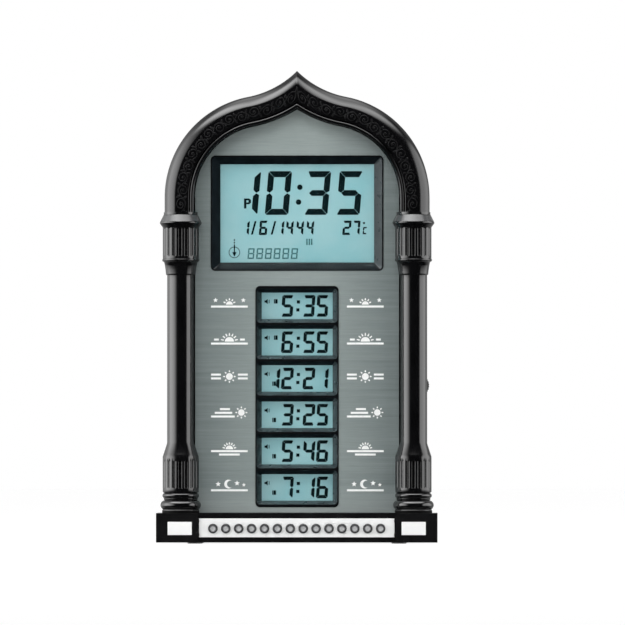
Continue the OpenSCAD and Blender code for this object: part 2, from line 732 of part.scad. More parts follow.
// The pocket that a glass lies in, with its walls
module holder_frame(size, z) difference() {
    pane([size[0] + 2 * holder_wall, size[1] + 2 * holder_wall - 1.2], z);
    pane([size[0] + 2 * pocket_fit, size[1] + 2 * pocket_fit], z);
}

module main_lcd_holder() color([0.9, 0.9, 0.88])
    slab(lens_y, board_y - lens_y) holder_frame(main_glass, main_z);

module small_lens() color([0.75, 0.85, 0.85, 0.3]) slab(lens_y, lens_t) pane(row_lens, row_z);

module small_lcd(i) color([0.55, 0.72, 0.74]) slab(glass_y, glass_t) pane(row_glass, row_mid(i));

module small_backlights() color([0.9, 0.93, 0.95]) for (i = [1:row_count])
    slab(strip_y, backlight_t) pane([row_glass[0] - 2, row_glass[1] - 2 * strip_w - 1], row_mid(i) - strip_w);

module small_lcd_holder() color([0.9, 0.9, 0.88]) {
    slab(lens_y, board_y - lens_y) holder_frame([row_lens[0], row_lens[1] + 1], row_z);
    for (i = [1:row_count - 1]) slab(glass_y, board_y - glass_y)
        pane([row_lens[0] + 1, row_pitch - row_glass[1] - 2 * pocket_fit], row_mid(i) - row_pitch / 2);
}

module contact_strips() color([0.85, 0.5, 0.6]) {
    for (s = [-1, 1]) slab(strip_y, strip_h)
        pane([main_glass[0] - 8, strip_w], main_z + s * (main_glass[1] / 2 - strip_w));
    for (i = [1:row_count]) slab(strip_y, strip_h)
        pane([row_glass[0] - 8, strip_w], row_mid(i) + row_glass[1] / 2 - strip_w);
}

// ---- Boards ----

module main_board() color([0.1, 0.3, 0.15]) difference() {
    box([-board_w / 2, board_y, board_low_z], [board_w / 2, board_back_y, board_high_z]);
    for (p = board_posts) bar(p[0], p[1], board_y - cut, board_t + 2 * cut, board_screw_r + 0.3);
}

// Processor, sound chip and power regulator, two capacitors, crystal and plug sockets
socket_h = 5;
chips = [[-30, board_high_z - 40, 14, 14, 1.6], [34, board_high_z - 67, 10, 10, 1.6],
    [46, 120, 8, 6, 1.6], [-52, board_high_z - 50, 3.2, 8, 2.4],
    [0, board_low_z + 4, ribbon_w + 3, 5, 3], [sound_socket[0], sound_socket[1], 6, 5, socket_h],
    [power_socket[0], power_socket[1], 6, 5, socket_h]];
capacitors = [[-46, 150, 4], [-46, 164, 4]];
module board_chips() color([0.08, 0.08, 0.08]) {
    for (c = chips) slab(board_back_y, c[4]) translate([c[0] - c[2] / 2, c[1] - c[3] / 2]) square([c[2], c[3]]);
    for (c = capacitors) bar(c[0], c[1], board_back_y, 9, c[2]);
    slab(key_board_y + board_t, 3) pane([ribbon_w + 3, 5], key_z);
}

module temperature_sensor() color([0.2, 0.2, 0.2]) difference() {
    bar(0, sensor_z, board_back_y, 5, 2.4);
    box([-3, board_back_y - cut, sensor_z - 3], [3, board_back_y + 6, sensor_z - 1.4]);
}

module ribbon_cable() color([0.6, 0.6, 0.62]) {
    down_y = board_back_y + 1.5;
    start_y = key_board_y + board_t + 3;
    turn = 3;
    translate([-ribbon_w / 2, 0, 0]) rotate([90, 0, 90]) linear_extrude(ribbon_w) polygon([
        [down_y - ribbon_t / 2, board_low_z + 1.5], [down_y + ribbon_t / 2, board_low_z + 1.5],
        [down_y + ribbon_t / 2, key_z + turn - ribbon_t / 2 + 0.3],
        [down_y - turn + 0.3, key_z - ribbon_t / 2], [start_y, key_z - ribbon_t / 2],
        [start_y, key_z + ribbon_t / 2], [down_y - turn, key_z + ribbon_t / 2],
        [down_y - ribbon_t / 2, key_z + turn]]);
}

// Leads from the speaker, the power jack and the battery bay. Each ends square
// on the plug socket that it serves.
lead_r = 0.7;
socket_y = board_back_y + socket_h + 0.05;
jack_front_y = cover_y - jack_box[1] - 0.05;
lead_routes = [
    [[7, cover_y - 6.4, speaker_z - 11.5], [9, cover_y - 9, speaker_z - 15],
     [16, cover_y - 9.5, speaker_z - 22], [24, cover_y - 9.5, speaker_z - 28],
     [sound_socket[0] - 1, socket_y + 3, sound_socket[1] + 1],
     [sound_socket[0], socket_y + 1.6, sound_socket[1]], [sound_socket[0], socket_y, sound_socket[1]]],
    [[jack_x - 3, jack_front_y, jack_z + 3], [jack_x - 3, jack_front_y - 1, jack_z + 3],
     [jack_x - 7, socket_y + 1.4, jack_z + 6],
     [power_socket[0] + 1.4, socket_y + 1.8, power_socket[1] - 1],
     [power_socket[0] + 1.4, socket_y, power_socket[1] - 1]],
    [[bay_block_hx + 0.5, 10.6, 78], [38, 10.4, 75], [44, 10.4, 70],
     [power_socket[0] - 1.4, socket_y + 1.8, power_socket[1] + 1],
     [power_socket[0] - 1.4, socket_y, power_socket[1] + 1]]];
module inner_leads() color([0.6, 0.08, 0.06]) for (route = lead_routes) tube(route, lead_r);

// ---- Rear cover, battery bay and door ----

module rear_cover() color([0.05, 0.05, 0.055]) difference() {
    union() {
        slab(cover_y, cover_t) outline(0);
        slab(cover_y - 2.5, 2.5 + cut) difference() {
            outline(wall + 0.25);
            outline(wall + 1.6);
        }
        box([-bay_block_hx, bay_floor_y, bay_z - bay_hz - bay_wall],
            [bay_block_hx, cover_y + cut, hinge_z + knuckle_r + gap + bay_wall]);
        slab(cover_y - speaker_flange, speaker_flange + cut) difference() {
            translate([0, speaker_z]) circle(speaker_r + 5.5);
            translate([0, speaker_z]) circle(speaker_r + 0.2);
        }
        box([jack_x - jack_box[0] / 2 - 1.7, cover_y - 6, jack_z - jack_box[2] / 2 - 1.7],
            [jack_x + jack_box[0] / 2 + 1.7, cover_y + cut, jack_z + jack_box[2] / 2 + 1.7]);
    }
    box([-bay_hx, bay_floor_y + bay_wall, bay_z - bay_hz], [bay_hx, back_y + cut, bay_z + bay_hz]);
    box([-door_hx - gap, hinge_y - knuckle_r - gap, door_low_z - gap],
        [door_hx + gap, back_y + cut, hinge_z + knuckle_r + gap]);
    translate([-door_hx - gap - pin_len - 0.4, hinge_y, hinge_z]) rotate([0, 90, 0])
        cylinder(h = 2 * (door_hx + gap + pin_len + 0.4), r = door_pin_r + fit);
    box([-latch_w / 2 - 1, back_y - 1.4, door_low_z - 3], [latch_w / 2 + 1, back_y + cut, door_low_z]);
    for (p = case_posts) {
        bar(p[0], p[1], cover_y - cut, cover_t + 2 * cut, screw_r + 0.4);
        bar(p[0], p[1], back_y - screw_head_h, screw_head_h + cut, screw_head_r + 0.3);
        bar(p[0], p[1], cover_y - 4, 4, post_r + 0.3);
    }
    speaker_slots();
    for (a = [90, 210, 330]) bar(speaker_screw_r * cos(a), speaker_z + speaker_screw_r * sin(a),
        cover_y - speaker_flange - cut, 2.6 + cut, board_screw_r + screw_fit);
    box([jack_x - jack_box[0] / 2 - 0.2, cover_y - 6 - cut, jack_z - jack_box[2] / 2 - 0.2],
        [jack_x + jack_box[0] / 2 + 0.2, cover_y, jack_z + jack_box[2] / 2 + 0.2]);
    bar(jack_x, jack_z, cover_y - cut, cover_t + 2 * cut, jack_nose_r + 0.1);
    keyhole();
    for (i = [-3:3]) box([-12, cover_y - cut, sensor_z - 8 + i * 3.2], [12, back_y + cut, sensor_z - 6.6 + i * 3.2]);
}

// Slots in front of the speaker, as long as its circle allows
slot_pitch = 3.8;
slot_h = 1.8;
module speaker_slots() for (i = [-4:4]) {
    half = sqrt(pow(speaker_r - 3, 2) - pow(i * slot_pitch, 2));
    box([-half, cover_y - cut, speaker_z + i * slot_pitch - slot_h / 2],
        [half, back_y + cut, speaker_z + i * slot_pitch + slot_h / 2]);
}

// The keyhole that hangs the clock on a wall screw
keyhole_z = clock_h - 32;
keyhole_len = 9;
module keyhole() {
    bar(0, keyhole_z, cover_y - cut, cover_t + 2 * cut, keyhole_r);
    bar(0, keyhole_z + keyhole_len, cover_y - cut, cover_t + 2 * cut, keyhole_slot / 2);
    box([-keyhole_slot / 2, cover_y - cut, keyhole_z], [keyhole_slot / 2, back_y + cut, keyhole_z + keyhole_len]);
}

// The door turns about the pins in its round upper edge
module battery_door() color([0.05, 0.05, 0.055]) {
    box([-door_hx, back_y - door_t, door_low_z], [door_hx, back_y, hinge_z]);
    translate([-door_hx, hinge_y, hinge_z]) rotate([0, 90, 0]) cylinder(h = 2 * door_hx, r = knuckle_r);
    translate([-door_hx - pin_len, hinge_y, hinge_z]) rotate([0, 90, 0])
        cylinder(h = 2 * (door_hx + pin_len), r = door_pin_r);
    box([-latch_w / 2, back_y - door_t - 3, door_low_z + 0.4], [latch_w / 2, back_y - door_t + 0.5, door_low_z + 2]);
}

function cell_z(i) = bay_z + (i - (cell_count + 1) / 2) * cell_pitch;
function cell_dir(i) = i % 2 == 1 ? 1 : -1;
cell_end = bay_hx - contact_t - 0.05;
nub_len = 1.2;

// A bar along X whose ends lie at x0 and x1
module bar_x(y, z, x0, x1, r) translate([min(x0, x1), y, z]) rotate([0, 90, 0]) cylinder(h = abs(x1 - x0), r = r);

module batteries() color([0.75, 0.55, 0.15]) for (i = [1:cell_count]) {
    bar_x(cell_y, cell_z(i), cell_dir(i) * (cell_end - cell_len), cell_dir(i) * (cell_end - nub_len), cell_r);
    bar_x(cell_y, cell_z(i), cell_dir(i) * (cell_end - nub_len - 0.5), cell_dir(i) * cell_end, 2.75);
}

// A cone of wire from its contact plate to the cell's flat end
spring_turns = 4;
spring_wire_r = 0.4;
spring_fine = 8; // points along each turn
module battery_springs() color([0.8, 0.8, 0.82]) for (i = [1:cell_count]) {
    x0 = bay_hx - contact_t - spring_wire_r - 0.05;
    run = 2 * cell_end - cell_len - 2 * spring_wire_r - 0.1;
    tube([for (k = [0:spring_turns * spring_fine]) let (
            t = k / (spring_turns * spring_fine), a = 360 * k / spring_fine, r = 5.4 - 2.6 * t)
        [-cell_dir(i) * (x0 - run * t), cell_y + r * cos(a), cell_z(i) + r * sin(a)]],
        spring_wire_r, 6);
}

module battery_contacts() color([0.8, 0.8, 0.82]) for (i = [1:cell_count], s = [-1, 1])
    box([s > 0 ? bay_hx - contact_t : -bay_hx, cell_y - 5.8, cell_z(i) - 5.8],
        [s > 0 ? bay_hx : -bay_hx + contact_t, cell_y + 5.8, cell_z(i) + 5.8]);

// ---- Speaker, power jack and volume control ----

// Places a shape whose z runs forward from the rear cover's inner face
module on_cover(x, z) translate([x, cover_y, z]) rotate([90, 0, 0]) children();

module speaker_frame() color([0.35, 0.35, 0.37]) on_cover(0, speaker_z)
    rotate_extrude() polygon([[speaker_r - 2.5, 0], [speaker_r, 0], [speaker_r, speaker_flange],
        [speaker_r - 1.6, speaker_flange], [magnet_r, speaker_d - magnet_h],
        [3.5, speaker_d - magnet_h], [3.5, speaker_d - magnet_h - 0.8],
        [magnet_r - 0.6, speaker_d - magnet_h - 0.8], [speaker_r - 2.5, speaker_flange]]);

module speaker_cone() color([0.1, 0.1, 0.1]) on_cover(0, speaker_z)
    rotate_extrude() polygon([[0, 2.4], [3, 2.6], [5, 3.6], [speaker_r - 3.4, 0.4], [speaker_r - 2.6, 0.4],
        [speaker_r - 2.6, 0.9], [speaker_r - 3.4, 0.9], [5, 4.2], [3, 3.6], [2.6, 6], [0, 6]]);

module speaker_magnet() color([0.3, 0.3, 0.3]) on_cover(0, speaker_z)
    translate([0, 0, speaker_d - magnet_h]) cylinder(h = magnet_h, r = magnet_r);

module dc_jack() color([0.08, 0.08, 0.08]) union() {
    difference() {
        union() {
            box([jack_x - jack_box[0] / 2, cover_y - jack_box[1], jack_z - jack_box[2] / 2],
                [jack_x + jack_box[0] / 2, cover_y, jack_z + jack_box[2] / 2]);
            bar(jack_x, jack_z, cover_y - 0.5, cover_t + 0.5, jack_nose_r);
        }
        bar(jack_x, jack_z, back_y - jack_depth, jack_depth + cut, jack_r);
    }
    bar(jack_x, jack_z, back_y - jack_depth - 0.5, jack_depth - 0.5, jack_pin_r);
}

knurl_count = 30;
module volume_wheel() color([0.08, 0.08, 0.08]) difference() {
    union() {
        bar(wheel_x, wheel_z, wheel_y, wheel_t, wheel_r);
        bar(wheel_x, wheel_z, wheel_y + wheel_t - 0.5, pot_y - wheel_y - wheel_t + pot_t + 0.3, wheel_hub_r);
    }
    for (i = [0:knurl_count - 1]) bar(wheel_x + (wheel_r + 0.2) * cos(360 * i / knurl_count),
        wheel_z + (wheel_r + 0.2) * sin(360 * i / knurl_count), wheel_y - cut, wheel_t + 2 * cut, 0.5);
}

module volume_pot() color([0.1, 0.3, 0.15]) difference() {
    union() {
        slab(pot_y, pot_t) translate([wheel_x - pot_w / 2, wheel_z - pot_w / 2]) square(pot_w);
        slab(pot_y + pot_t, board_t) translate([wheel_x - 9.4, wheel_z + pot_w / 2 + 0.5 - volume_board[1]])
            square([volume_board[0] - 0.4, volume_board[1]]);
    }
    bar(wheel_x, wheel_z, pot_y - cut, pot_t + cut, wheel_hub_r + fit);
    bar(wheel_x + volume_post[0], wheel_z + volume_post[1], pot_y + pot_t - cut, board_t + 2 * cut,
        board_screw_r + 0.3);
}

// ---- Fasteners ----

module case_screws() color([0.5, 0.5, 0.52]) {
    for (p = case_posts) screw_back(p[0], p[1], back_y, case_screw_len - 1,
        screw_r, screw_head_r, screw_head_h);
    for (p = bottom_posts) translate([p[0], p[1], foot_h]) {
        cylinder(h = screw_head_h, r = screw_head_r);
        cylinder(h = screw_head_h + 8, r = screw_r);
    }
    for (x = base_screw_x) translate([x, base_screw_y, deck_z - screw_head_h]) {
        cylinder(h = screw_head_h, r = screw_head_r);
        cylinder(h = screw_head_h + wall + 7, r = screw_r);
    }
}

module board_screws() color([0.6, 0.6, 0.62]) {
    for (p = board_posts) screw_back(p[0], p[1], board_back_y + board_screw_head_h, board_t + 6,
        board_screw_r, board_screw_head_r, board_screw_head_h);
    for (s = [-1, 1], z = key_post_z) screw_back(s * key_post_x, z,
        key_board_y + board_t + board_screw_head_h, board_t + 3.6,
        board_screw_r, board_screw_head_r, board_screw_head_h);
    screw_back(wheel_x + volume_post[0], wheel_z + volume_post[1],
        pot_y + pot_t + board_t + board_screw_head_h, board_t + pot_t - 0.6,
        board_screw_r, board_screw_head_r, board_screw_head_h);
    for (a = [90, 210, 330]) translate([speaker_screw_r * cos(a),
            cover_y - speaker_flange, speaker_z + speaker_screw_r * sin(a)]) {
        rotate([90, 0, 0]) cylinder(h = board_screw_head_h, r = board_screw_head_r + 0.5);
        rotate([-90, 0, 0]) cylinder(h = 2.4, r = board_screw_r);
    }
}

front_housing();
arch_moulding();
column_left();
column_right();
plinth();
bottom_cover();
rubber_feet();
end_plates();
face_panel();
main_bezel();
main_lens();
main_lcd();
main_backlight();
main_lcd_holder();
small_bezel();
small_lens();
small_backlights();
small_lcd_holder();
contact_strips();
main_board();
board_chips();
temperature_sensor();
key_board();
key_switches();
key_panel();
rear_cover();
battery_door();
batteries();
battery_springs();
battery_contacts();
speaker_frame();
speaker_cone();
speaker_magnet();
dc_jack();
volume_wheel();
volume_pot();
case_screws();
board_screws();
ribbon_cable();
inner_leads();
for (i = [1:row_count]) small_lcd(i);
for (i = [1:key_count]) key(i);
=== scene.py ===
"""Looks of the azan clock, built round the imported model, which is the fixed frame.

Lengths in this script are millimetres in the CAD frame (front -Y, up +Z); MM turns
them into Blender's metres. Angles are degrees, but those named a or ending in _RAD
are radians.
Names that end in _PX are columns or rows of the photograph.
"""

import math

import bmesh
import bpy
from mathutils import Matrix, Vector


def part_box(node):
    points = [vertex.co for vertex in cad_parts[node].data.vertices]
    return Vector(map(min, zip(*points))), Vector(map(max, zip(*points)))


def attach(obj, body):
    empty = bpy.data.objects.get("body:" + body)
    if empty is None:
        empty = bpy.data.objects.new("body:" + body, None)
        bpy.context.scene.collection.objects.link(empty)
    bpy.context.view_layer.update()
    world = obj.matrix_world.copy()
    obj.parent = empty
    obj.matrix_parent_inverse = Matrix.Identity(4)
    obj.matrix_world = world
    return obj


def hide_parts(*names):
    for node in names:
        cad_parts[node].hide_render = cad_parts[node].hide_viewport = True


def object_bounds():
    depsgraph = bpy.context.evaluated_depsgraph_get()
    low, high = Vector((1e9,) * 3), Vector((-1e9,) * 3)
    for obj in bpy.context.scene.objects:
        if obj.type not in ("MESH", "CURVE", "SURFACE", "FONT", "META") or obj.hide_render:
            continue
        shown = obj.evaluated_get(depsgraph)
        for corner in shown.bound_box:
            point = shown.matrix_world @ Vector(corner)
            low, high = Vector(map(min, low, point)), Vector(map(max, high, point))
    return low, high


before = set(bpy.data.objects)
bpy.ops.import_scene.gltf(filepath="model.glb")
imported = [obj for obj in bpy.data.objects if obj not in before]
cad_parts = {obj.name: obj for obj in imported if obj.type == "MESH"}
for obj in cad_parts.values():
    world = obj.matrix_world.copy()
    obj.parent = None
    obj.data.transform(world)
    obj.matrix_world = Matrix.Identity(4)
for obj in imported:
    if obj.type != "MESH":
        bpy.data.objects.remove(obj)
cad_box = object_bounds()
scene = bpy.context.scene
scene.view_settings.view_transform = "Standard"
MM = 0.001
TO_METRES = Matrix.Scale(MM, 4)
BODY = "clock"


# ---- camera
PX = 0.6765  # millimetres that one pixel of the photograph covers at the face
PHOTO_PX = 625
MIDDLE_PX, GROUND_PX = 297, 543.5  # the clock's middle and the ground under it
CAM_D = 5000
CAM_Z = 60  # low and far, so that the plinth's top stays out of sight as in the photograph
CAM_RAD = math.radians(1.0)
AIM_Y = -12
SENSOR = 36


def look_at(obj, pos, target):
    obj.location = Vector(pos) * MM
    obj.rotation_euler = (Vector(target) - Vector(pos)).to_track_quat("-Z", "Y").to_euler()


def px_x(column):
    return (column - MIDDLE_PX) * PX


def px_z(row):
    return (GROUND_PX - row) * PX


aim = Vector((px_x(PHOTO_PX / 2), AIM_Y, px_z(PHOTO_PX / 2)))
eye = aim + CAM_D * Vector((math.sin(CAM_RAD), -math.cos(CAM_RAD), 0))
camera = bpy.data.objects.new("camera", bpy.data.cameras.new("camera"))
scene.collection.objects.link(camera)
look_at(camera, (eye.x, eye.y, CAM_Z), aim)
camera.data.sensor_width = SENSOR
camera.data.lens = SENSOR * CAM_D / (PHOTO_PX * PX)
camera.data.clip_start = 0.01
camera.data.clip_end = 50
scene.camera = camera


# ---- node trees
class Nodes:
    """Builds a node tree."""

    def __init__(self, tree):
        self.tree = tree

    def add(self, kind, **values):
        node = self.tree.nodes.new("ShaderNode" + kind)
        for key, value in values.items():
            setattr(node, key, value)
        return node

    def link(self, source, target):
        self.tree.links.new(source, target)

    def feed(self, socket, value):
        """Gives a socket a number, a colour or another node's output."""
        if isinstance(value, (int, float)):
            socket.default_value = value
        elif isinstance(value, tuple):
            socket.default_value = (*value, 1)
        else:
            self.link(value, socket)

    def ramp(self, value, low, high, out_low=0.0, out_high=1.0, **values):
        node = self.add("MapRange", **values)
        self.link(value, node.inputs["Value"])
        for key, limit in (("From Min", low), ("From Max", high), ("To Min", out_low), ("To Max", out_high)):
            node.inputs[key].default_value = limit
        return node.outputs["Result"]

    def math(self, operation, a, b):
        node = self.add("Math", operation=operation)
        self.feed(node.inputs[0], a)
        self.feed(node.inputs[1], b)
        return node.outputs[0]

    def either(self, factor, off, on):
        """One shader where factor is 0 and another where it is 1."""
        node = self.add("MixShader")
        self.link(factor, node.inputs["Fac"])
        self.link(off, node.inputs[1])
        self.link(on, node.inputs[2])
        return node.outputs[0]


class Maker(Nodes):
    """Builds one material's node tree, with textures in object space."""

    def __init__(self, name):
        self.mat = bpy.data.materials.new(name)
        self.mat.use_nodes = True
        super().__init__(self.mat.node_tree)
        self.bsdf = self.tree.nodes["Principled BSDF"]
        self.coord = self.add("TexCoord").outputs["Object"]

    def noise(self, size, detail=3, rough=0.55, stretch=None):
        """Noise whose features are about size millimetres across."""
        node = self.add("TexNoise")
        node.inputs["Scale"].default_value = 1 / (size * MM)
        node.inputs["Detail"].default_value = detail
        node.inputs["Roughness"].default_value = rough
        source = self.coord
        if stretch:
            mapping = self.add("Mapping")
            mapping.inputs["Scale"].default_value = stretch
            self.link(source, mapping.inputs["Vector"])
            source = mapping.outputs["Vector"]
        self.link(source, node.inputs["Vector"])
        return node.outputs["Fac"]

    def mix(self, factor, a, b):
        node = self.add("Mix", data_type="RGBA")
        self.link(factor, node.inputs["Factor"])
        self.feed(node.inputs["A"], a)
        self.feed(node.inputs["B"], b)
        return node.outputs["Result"]

    def bump(self, height, distance, normal=None):
        node = self.add("Bump")
        node.inputs["Strength"].default_value = 1.0
        node.inputs["Distance"].default_value = distance * MM
        self.link(height, node.inputs["Height"])
        if normal is not None:
            self.link(normal, node.inputs["Normal"])
        return node.outputs["Normal"]

    def edges(self, radius):
        """A mask that rises within radius millimetres of an edge, where plastic is rubbed."""
        rounded = self.add("Bevel", samples=4)
        rounded.inputs["Radius"].default_value = radius * MM
        facing = self.add("VectorMath", operation="DOT_PRODUCT")
        self.link(rounded.outputs["Normal"], facing.inputs[0])
        self.link(self.add("NewGeometry").outputs["True Normal"], facing.inputs[1])
        return self.ramp(facing.outputs["Value"], 0.985, 0.86)

    def set(self, **sockets):
        for key, value in sockets.items():
            self.feed(self.bsdf.inputs[key.replace("_", " ")], value)
        return self


# ---- materials
WEAR_WIDTH = 0.7
WORN = (0.16, 0.16, 0.165)


def srgb(*levels):
    """Linear colour from sRGB values of 0 to 255."""
    shares = [level / 255 for level in levels]
    return tuple(c / 12.92 if c <= 0.04045 else ((c + 0.055) / 1.055) ** 2.4 for c in shares)


def shades(color, vary):
    """A darker and a lighter shade of a colour."""
    return tuple(c * (1 - vary) for c in color), tuple(min(1, c * (1 + vary)) for c in color)


def plastic(name, color, rough, vary=0.12, patch=18, smudge=0.05, grain=0.0, grain_size=0.5,
            wave=0.0, wave_size=14, wear=0.0, **sockets):
    """Moulded plastic or another plain skin: patches, grain, sink waves and rubbed edges."""
    skin = Maker(name)
    shade = skin.mix(skin.ramp(skin.noise(patch, 4), 0.35, 0.65), *shades(color, vary))
    if wear:
        blotches = skin.ramp(skin.noise(5, 5), 0.4, 0.7, 0, wear)
        shade = skin.mix(skin.math("MULTIPLY", skin.edges(WEAR_WIDTH), blotches), shade, WORN)
    normal = None
    if wave:
        normal = skin.bump(skin.noise(wave_size, 1), wave)
    if grain:
        normal = skin.bump(skin.noise(grain_size, 2), grain, normal)
    fine = skin.noise(patch * 0.4, 5, 0.65)
    skin.set(Base_Color=shade, Roughness=skin.ramp(fine, 0.3, 0.7, max(0.02, rough - smudge), rough + smudge))
    if normal is not None:
        skin.set(Normal=normal)
    return skin.set(**sockets).mat


def metal(name, color, rough):
    """Bare metal, slightly clouded, with fine lines that vary its gloss."""
    skin = Maker(name)
    shade = skin.mix(skin.noise(8, 4), *shades(color, 0.12))
    lines = skin.noise(0.6, 3, stretch=(1, 1, 12))
    gloss = skin.ramp(lines, 0.3, 0.7, rough * 0.8, rough * 1.25)
    return skin.set(Base_Color=shade, Metallic=1.0, Roughness=gloss, Normal=skin.bump(lines, 0.02)).mat


def brushed_face():
    """Anodised grey-green metal brushed along X, unevenly clouded; a painted sheen lightens its middle and
    painted light its foot.
    """
    skin = Maker("brushed_face")
    fine = skin.noise(0.32, 4, 0.7, stretch=(0.02, 1, 1))
    long_lines = skin.noise(1.6, 3, 0.6, stretch=(0.012, 1, 1))
    place = skin.add("SeparateXYZ")
    skin.link(skin.coord, place.inputs["Vector"])
    off_middle = skin.math("ABSOLUTE", place.outputs["X"], 0)
    # Painted sheen: lighter in the middle of the face, darker towards the sides.
    shade = skin.mix(skin.ramp(off_middle, 12 * MM, 62 * MM), srgb(158, 169, 167), srgb(113, 123, 123))
    cloud = skin.ramp(skin.noise(38, 3, 0.5), 0.35, 0.68, 0, 0.35)
    shade = skin.mix(cloud, shade, srgb(130, 142, 141))
    shade = skin.mix(skin.ramp(long_lines, 0.25, 0.75, 0, 0.28), shade, srgb(166, 176, 174))
    shade = skin.mix(skin.ramp(fine, 0.4, 0.75, 0, 0.22), shade, srgb(84, 92, 92))
    # Painted light: paler near the plinth, making up for the shade there.
    foot = skin.ramp(place.outputs["Z"], 40 * MM, 22 * MM, 0, 0.16)
    shade = skin.mix(foot, shade, srgb(243, 250, 248))
    normal = skin.bump(fine, 0.012, skin.bump(long_lines, 0.01))
    gloss = skin.ramp(fine, 0.3, 0.7, 0.36, 0.5)
    return skin.set(Base_Color=shade, Metallic=0.25, Normal=normal, Roughness=gloss).mat


def lcd():
    """Positive liquid-crystal glass: blue-green, slightly uneven, with faint specks."""
    skin = Maker("lcd_glass")
    cloud = skin.ramp(skin.noise(26, 3, 0.5), 0.3, 0.7)
    shade = skin.mix(cloud, srgb(135, 188, 194), srgb(155, 196, 200))
    shade = skin.mix(skin.ramp(skin.noise(0.5, 2), 0.35, 0.8, 0, 0.12), shade, srgb(112, 160, 166))
    normal = skin.bump(skin.noise(0.35, 2), 0.004)
    # The glow is painted light that lifts the glass out of the shade of its deep bezel.
    return skin.set(Base_Color=shade, Emission_Color=shade, Emission_Strength=0.21, Roughness=0.35,
                    Normal=normal).mat


def clear():
    """The window in front of a display: nearly clear, with a thin gloss."""
    skin = Maker("clear_lens")
    dust = skin.ramp(skin.noise(3, 5, 0.7), 0.55, 0.75, 0.04, 0.12)
    return skin.set(Base_Color=(0.02, 0.03, 0.03), Alpha=0.05, Roughness=dust, IOR=1.45).mat


def board():
    """Circuit board: green lacquer with a pattern of tracks under it."""
    skin = Maker("board_green")
    tracks = skin.add("TexBrick")
    tracks.inputs["Scale"].default_value = 160
    skin.link(skin.coord, tracks.inputs["Vector"])
    lines = tracks.outputs["Fac"]
    shade = skin.mix(skin.ramp(lines, 0, 1, 0, 0.5), srgb(24, 88, 52), srgb(40, 116, 66))
    shade = skin.mix(skin.ramp(skin.noise(9, 4), 0.3, 0.7, 0, 0.5), shade, srgb(18, 70, 44))
    return skin.set(Base_Color=shade, Roughness=0.4, Normal=skin.bump(lines, 0.02)).mat


def paper():
    skin = Maker("speaker_paper")
    fibre = skin.noise(0.4, 5, 0.8)
    shade = skin.mix(fibre, (0.012, 0.012, 0.012), (0.05, 0.05, 0.048))
    return skin.set(Base_Color=shade, Roughness=0.92, Normal=skin.bump(fibre, 0.06)).mat


GLOSSY = dict(vary=0.25, wave=0.03, wave_size=22, grain=0.003, grain_size=0.7, wear=0.05, smudge=0.025)
MATS = {
    "case_black": plastic("case_black", (0.0035, 0.0035, 0.004), 0.18, **GLOSSY),
    "trim_black": plastic("trim_black", (0.003, 0.003, 0.0034), 0.14, **GLOSSY),
    "plinth_black": plastic("plinth_black", (0.0064, 0.0064, 0.0068), 0.22, **GLOSSY),
    "rear_black": plastic("rear_black", (0.02, 0.02, 0.022), 0.5, grain=0.035, grain_size=0.55, wear=0.3),
    "foot_rubber": plastic("foot_rubber", (0.78, 0.78, 0.76), 0.5, vary=0.06, grain=0.02, grain_size=0.3),
    "plate_white": plastic("plate_white", (0.9, 0.905, 0.9), 0.34, vary=0.025, grain=0.006, wave=0.02),
    "brushed_face": brushed_face(),
    "bezel_black": plastic("bezel_black", (0.004, 0.005, 0.006), 0.24, grain=0.003, grain_size=0.4,
                           wear=0.06, smudge=0.03, Specular_IOR_Level=0.28),
    "clear_lens": clear(),
    "lcd_glass": lcd(),
    "backlight_white": plastic("backlight_white", (0.8, 0.84, 0.86), 0.4, vary=0.03),
    "holder_white": plastic("holder_white", (0.78, 0.78, 0.75), 0.45, vary=0.04, grain=0.01),
    "strip_rubber": plastic("strip_rubber", (0.62, 0.3, 0.36), 0.6, vary=0.1, patch=3),
    "board_green": board(),
    "chip_black": plastic("chip_black", (0.015, 0.015, 0.015), 0.5, grain=0.01, grain_size=0.2),
    "switch_black": plastic("switch_black", (0.03, 0.03, 0.03), 0.4),
    "key_black": plastic("key_black", (0.034, 0.035, 0.037), 0.24, vary=0.15, patch=2, wear=0.2),
    "cell_wrap": plastic("cell_wrap", (0.02, 0.02, 0.022), 0.28, wave=0.03, wave_size=5),
    "spring_steel": metal("spring_steel", (0.66, 0.66, 0.68), 0.24),
    "speaker_steel": metal("speaker_steel", (0.34, 0.34, 0.36), 0.4),
    "speaker_paper": paper(),
    "magnet_grey": plastic("magnet_grey", (0.07, 0.07, 0.075), 0.55, grain=0.02, grain_size=0.3),
    "wheel_black": plastic("wheel_black", (0.09, 0.09, 0.092), 0.36, grain=0.008, wear=0.3),
    "screw_steel": metal("screw_steel", (0.42, 0.42, 0.44), 0.3),
    "cable_grey": plastic("cable_grey", (0.4, 0.4, 0.4), 0.5, vary=0.2, patch=1.3),
    "lead_red": plastic("lead_red", (0.42, 0.02, 0.015), 0.4),
}

# Skins of parts of a piece; several are painted light or painted shade
LCD_INK = plastic("lcd_ink", (0.0012, 0.009, 0.011), 0.5, vary=0.35, patch=2, Specular_IOR_Level=0.08)
LCD_FAINT = plastic("lcd_faint", (0.06, 0.19, 0.2), 0.5, vary=0.35, patch=1.5, Specular_IOR_Level=0.08)
PRINT = plastic("print_white", (0.86, 0.87, 0.86), 0.55, vary=0.04, patch=2, grain=0.01, grain_size=0.2)
RELIEF = plastic("trim_relief", (0.004, 0.004, 0.0044), 0.3, vary=0.3, patch=4, grain=0.004,
                 grain_size=0.4, wear=0.1, Specular_IOR_Level=0.22)
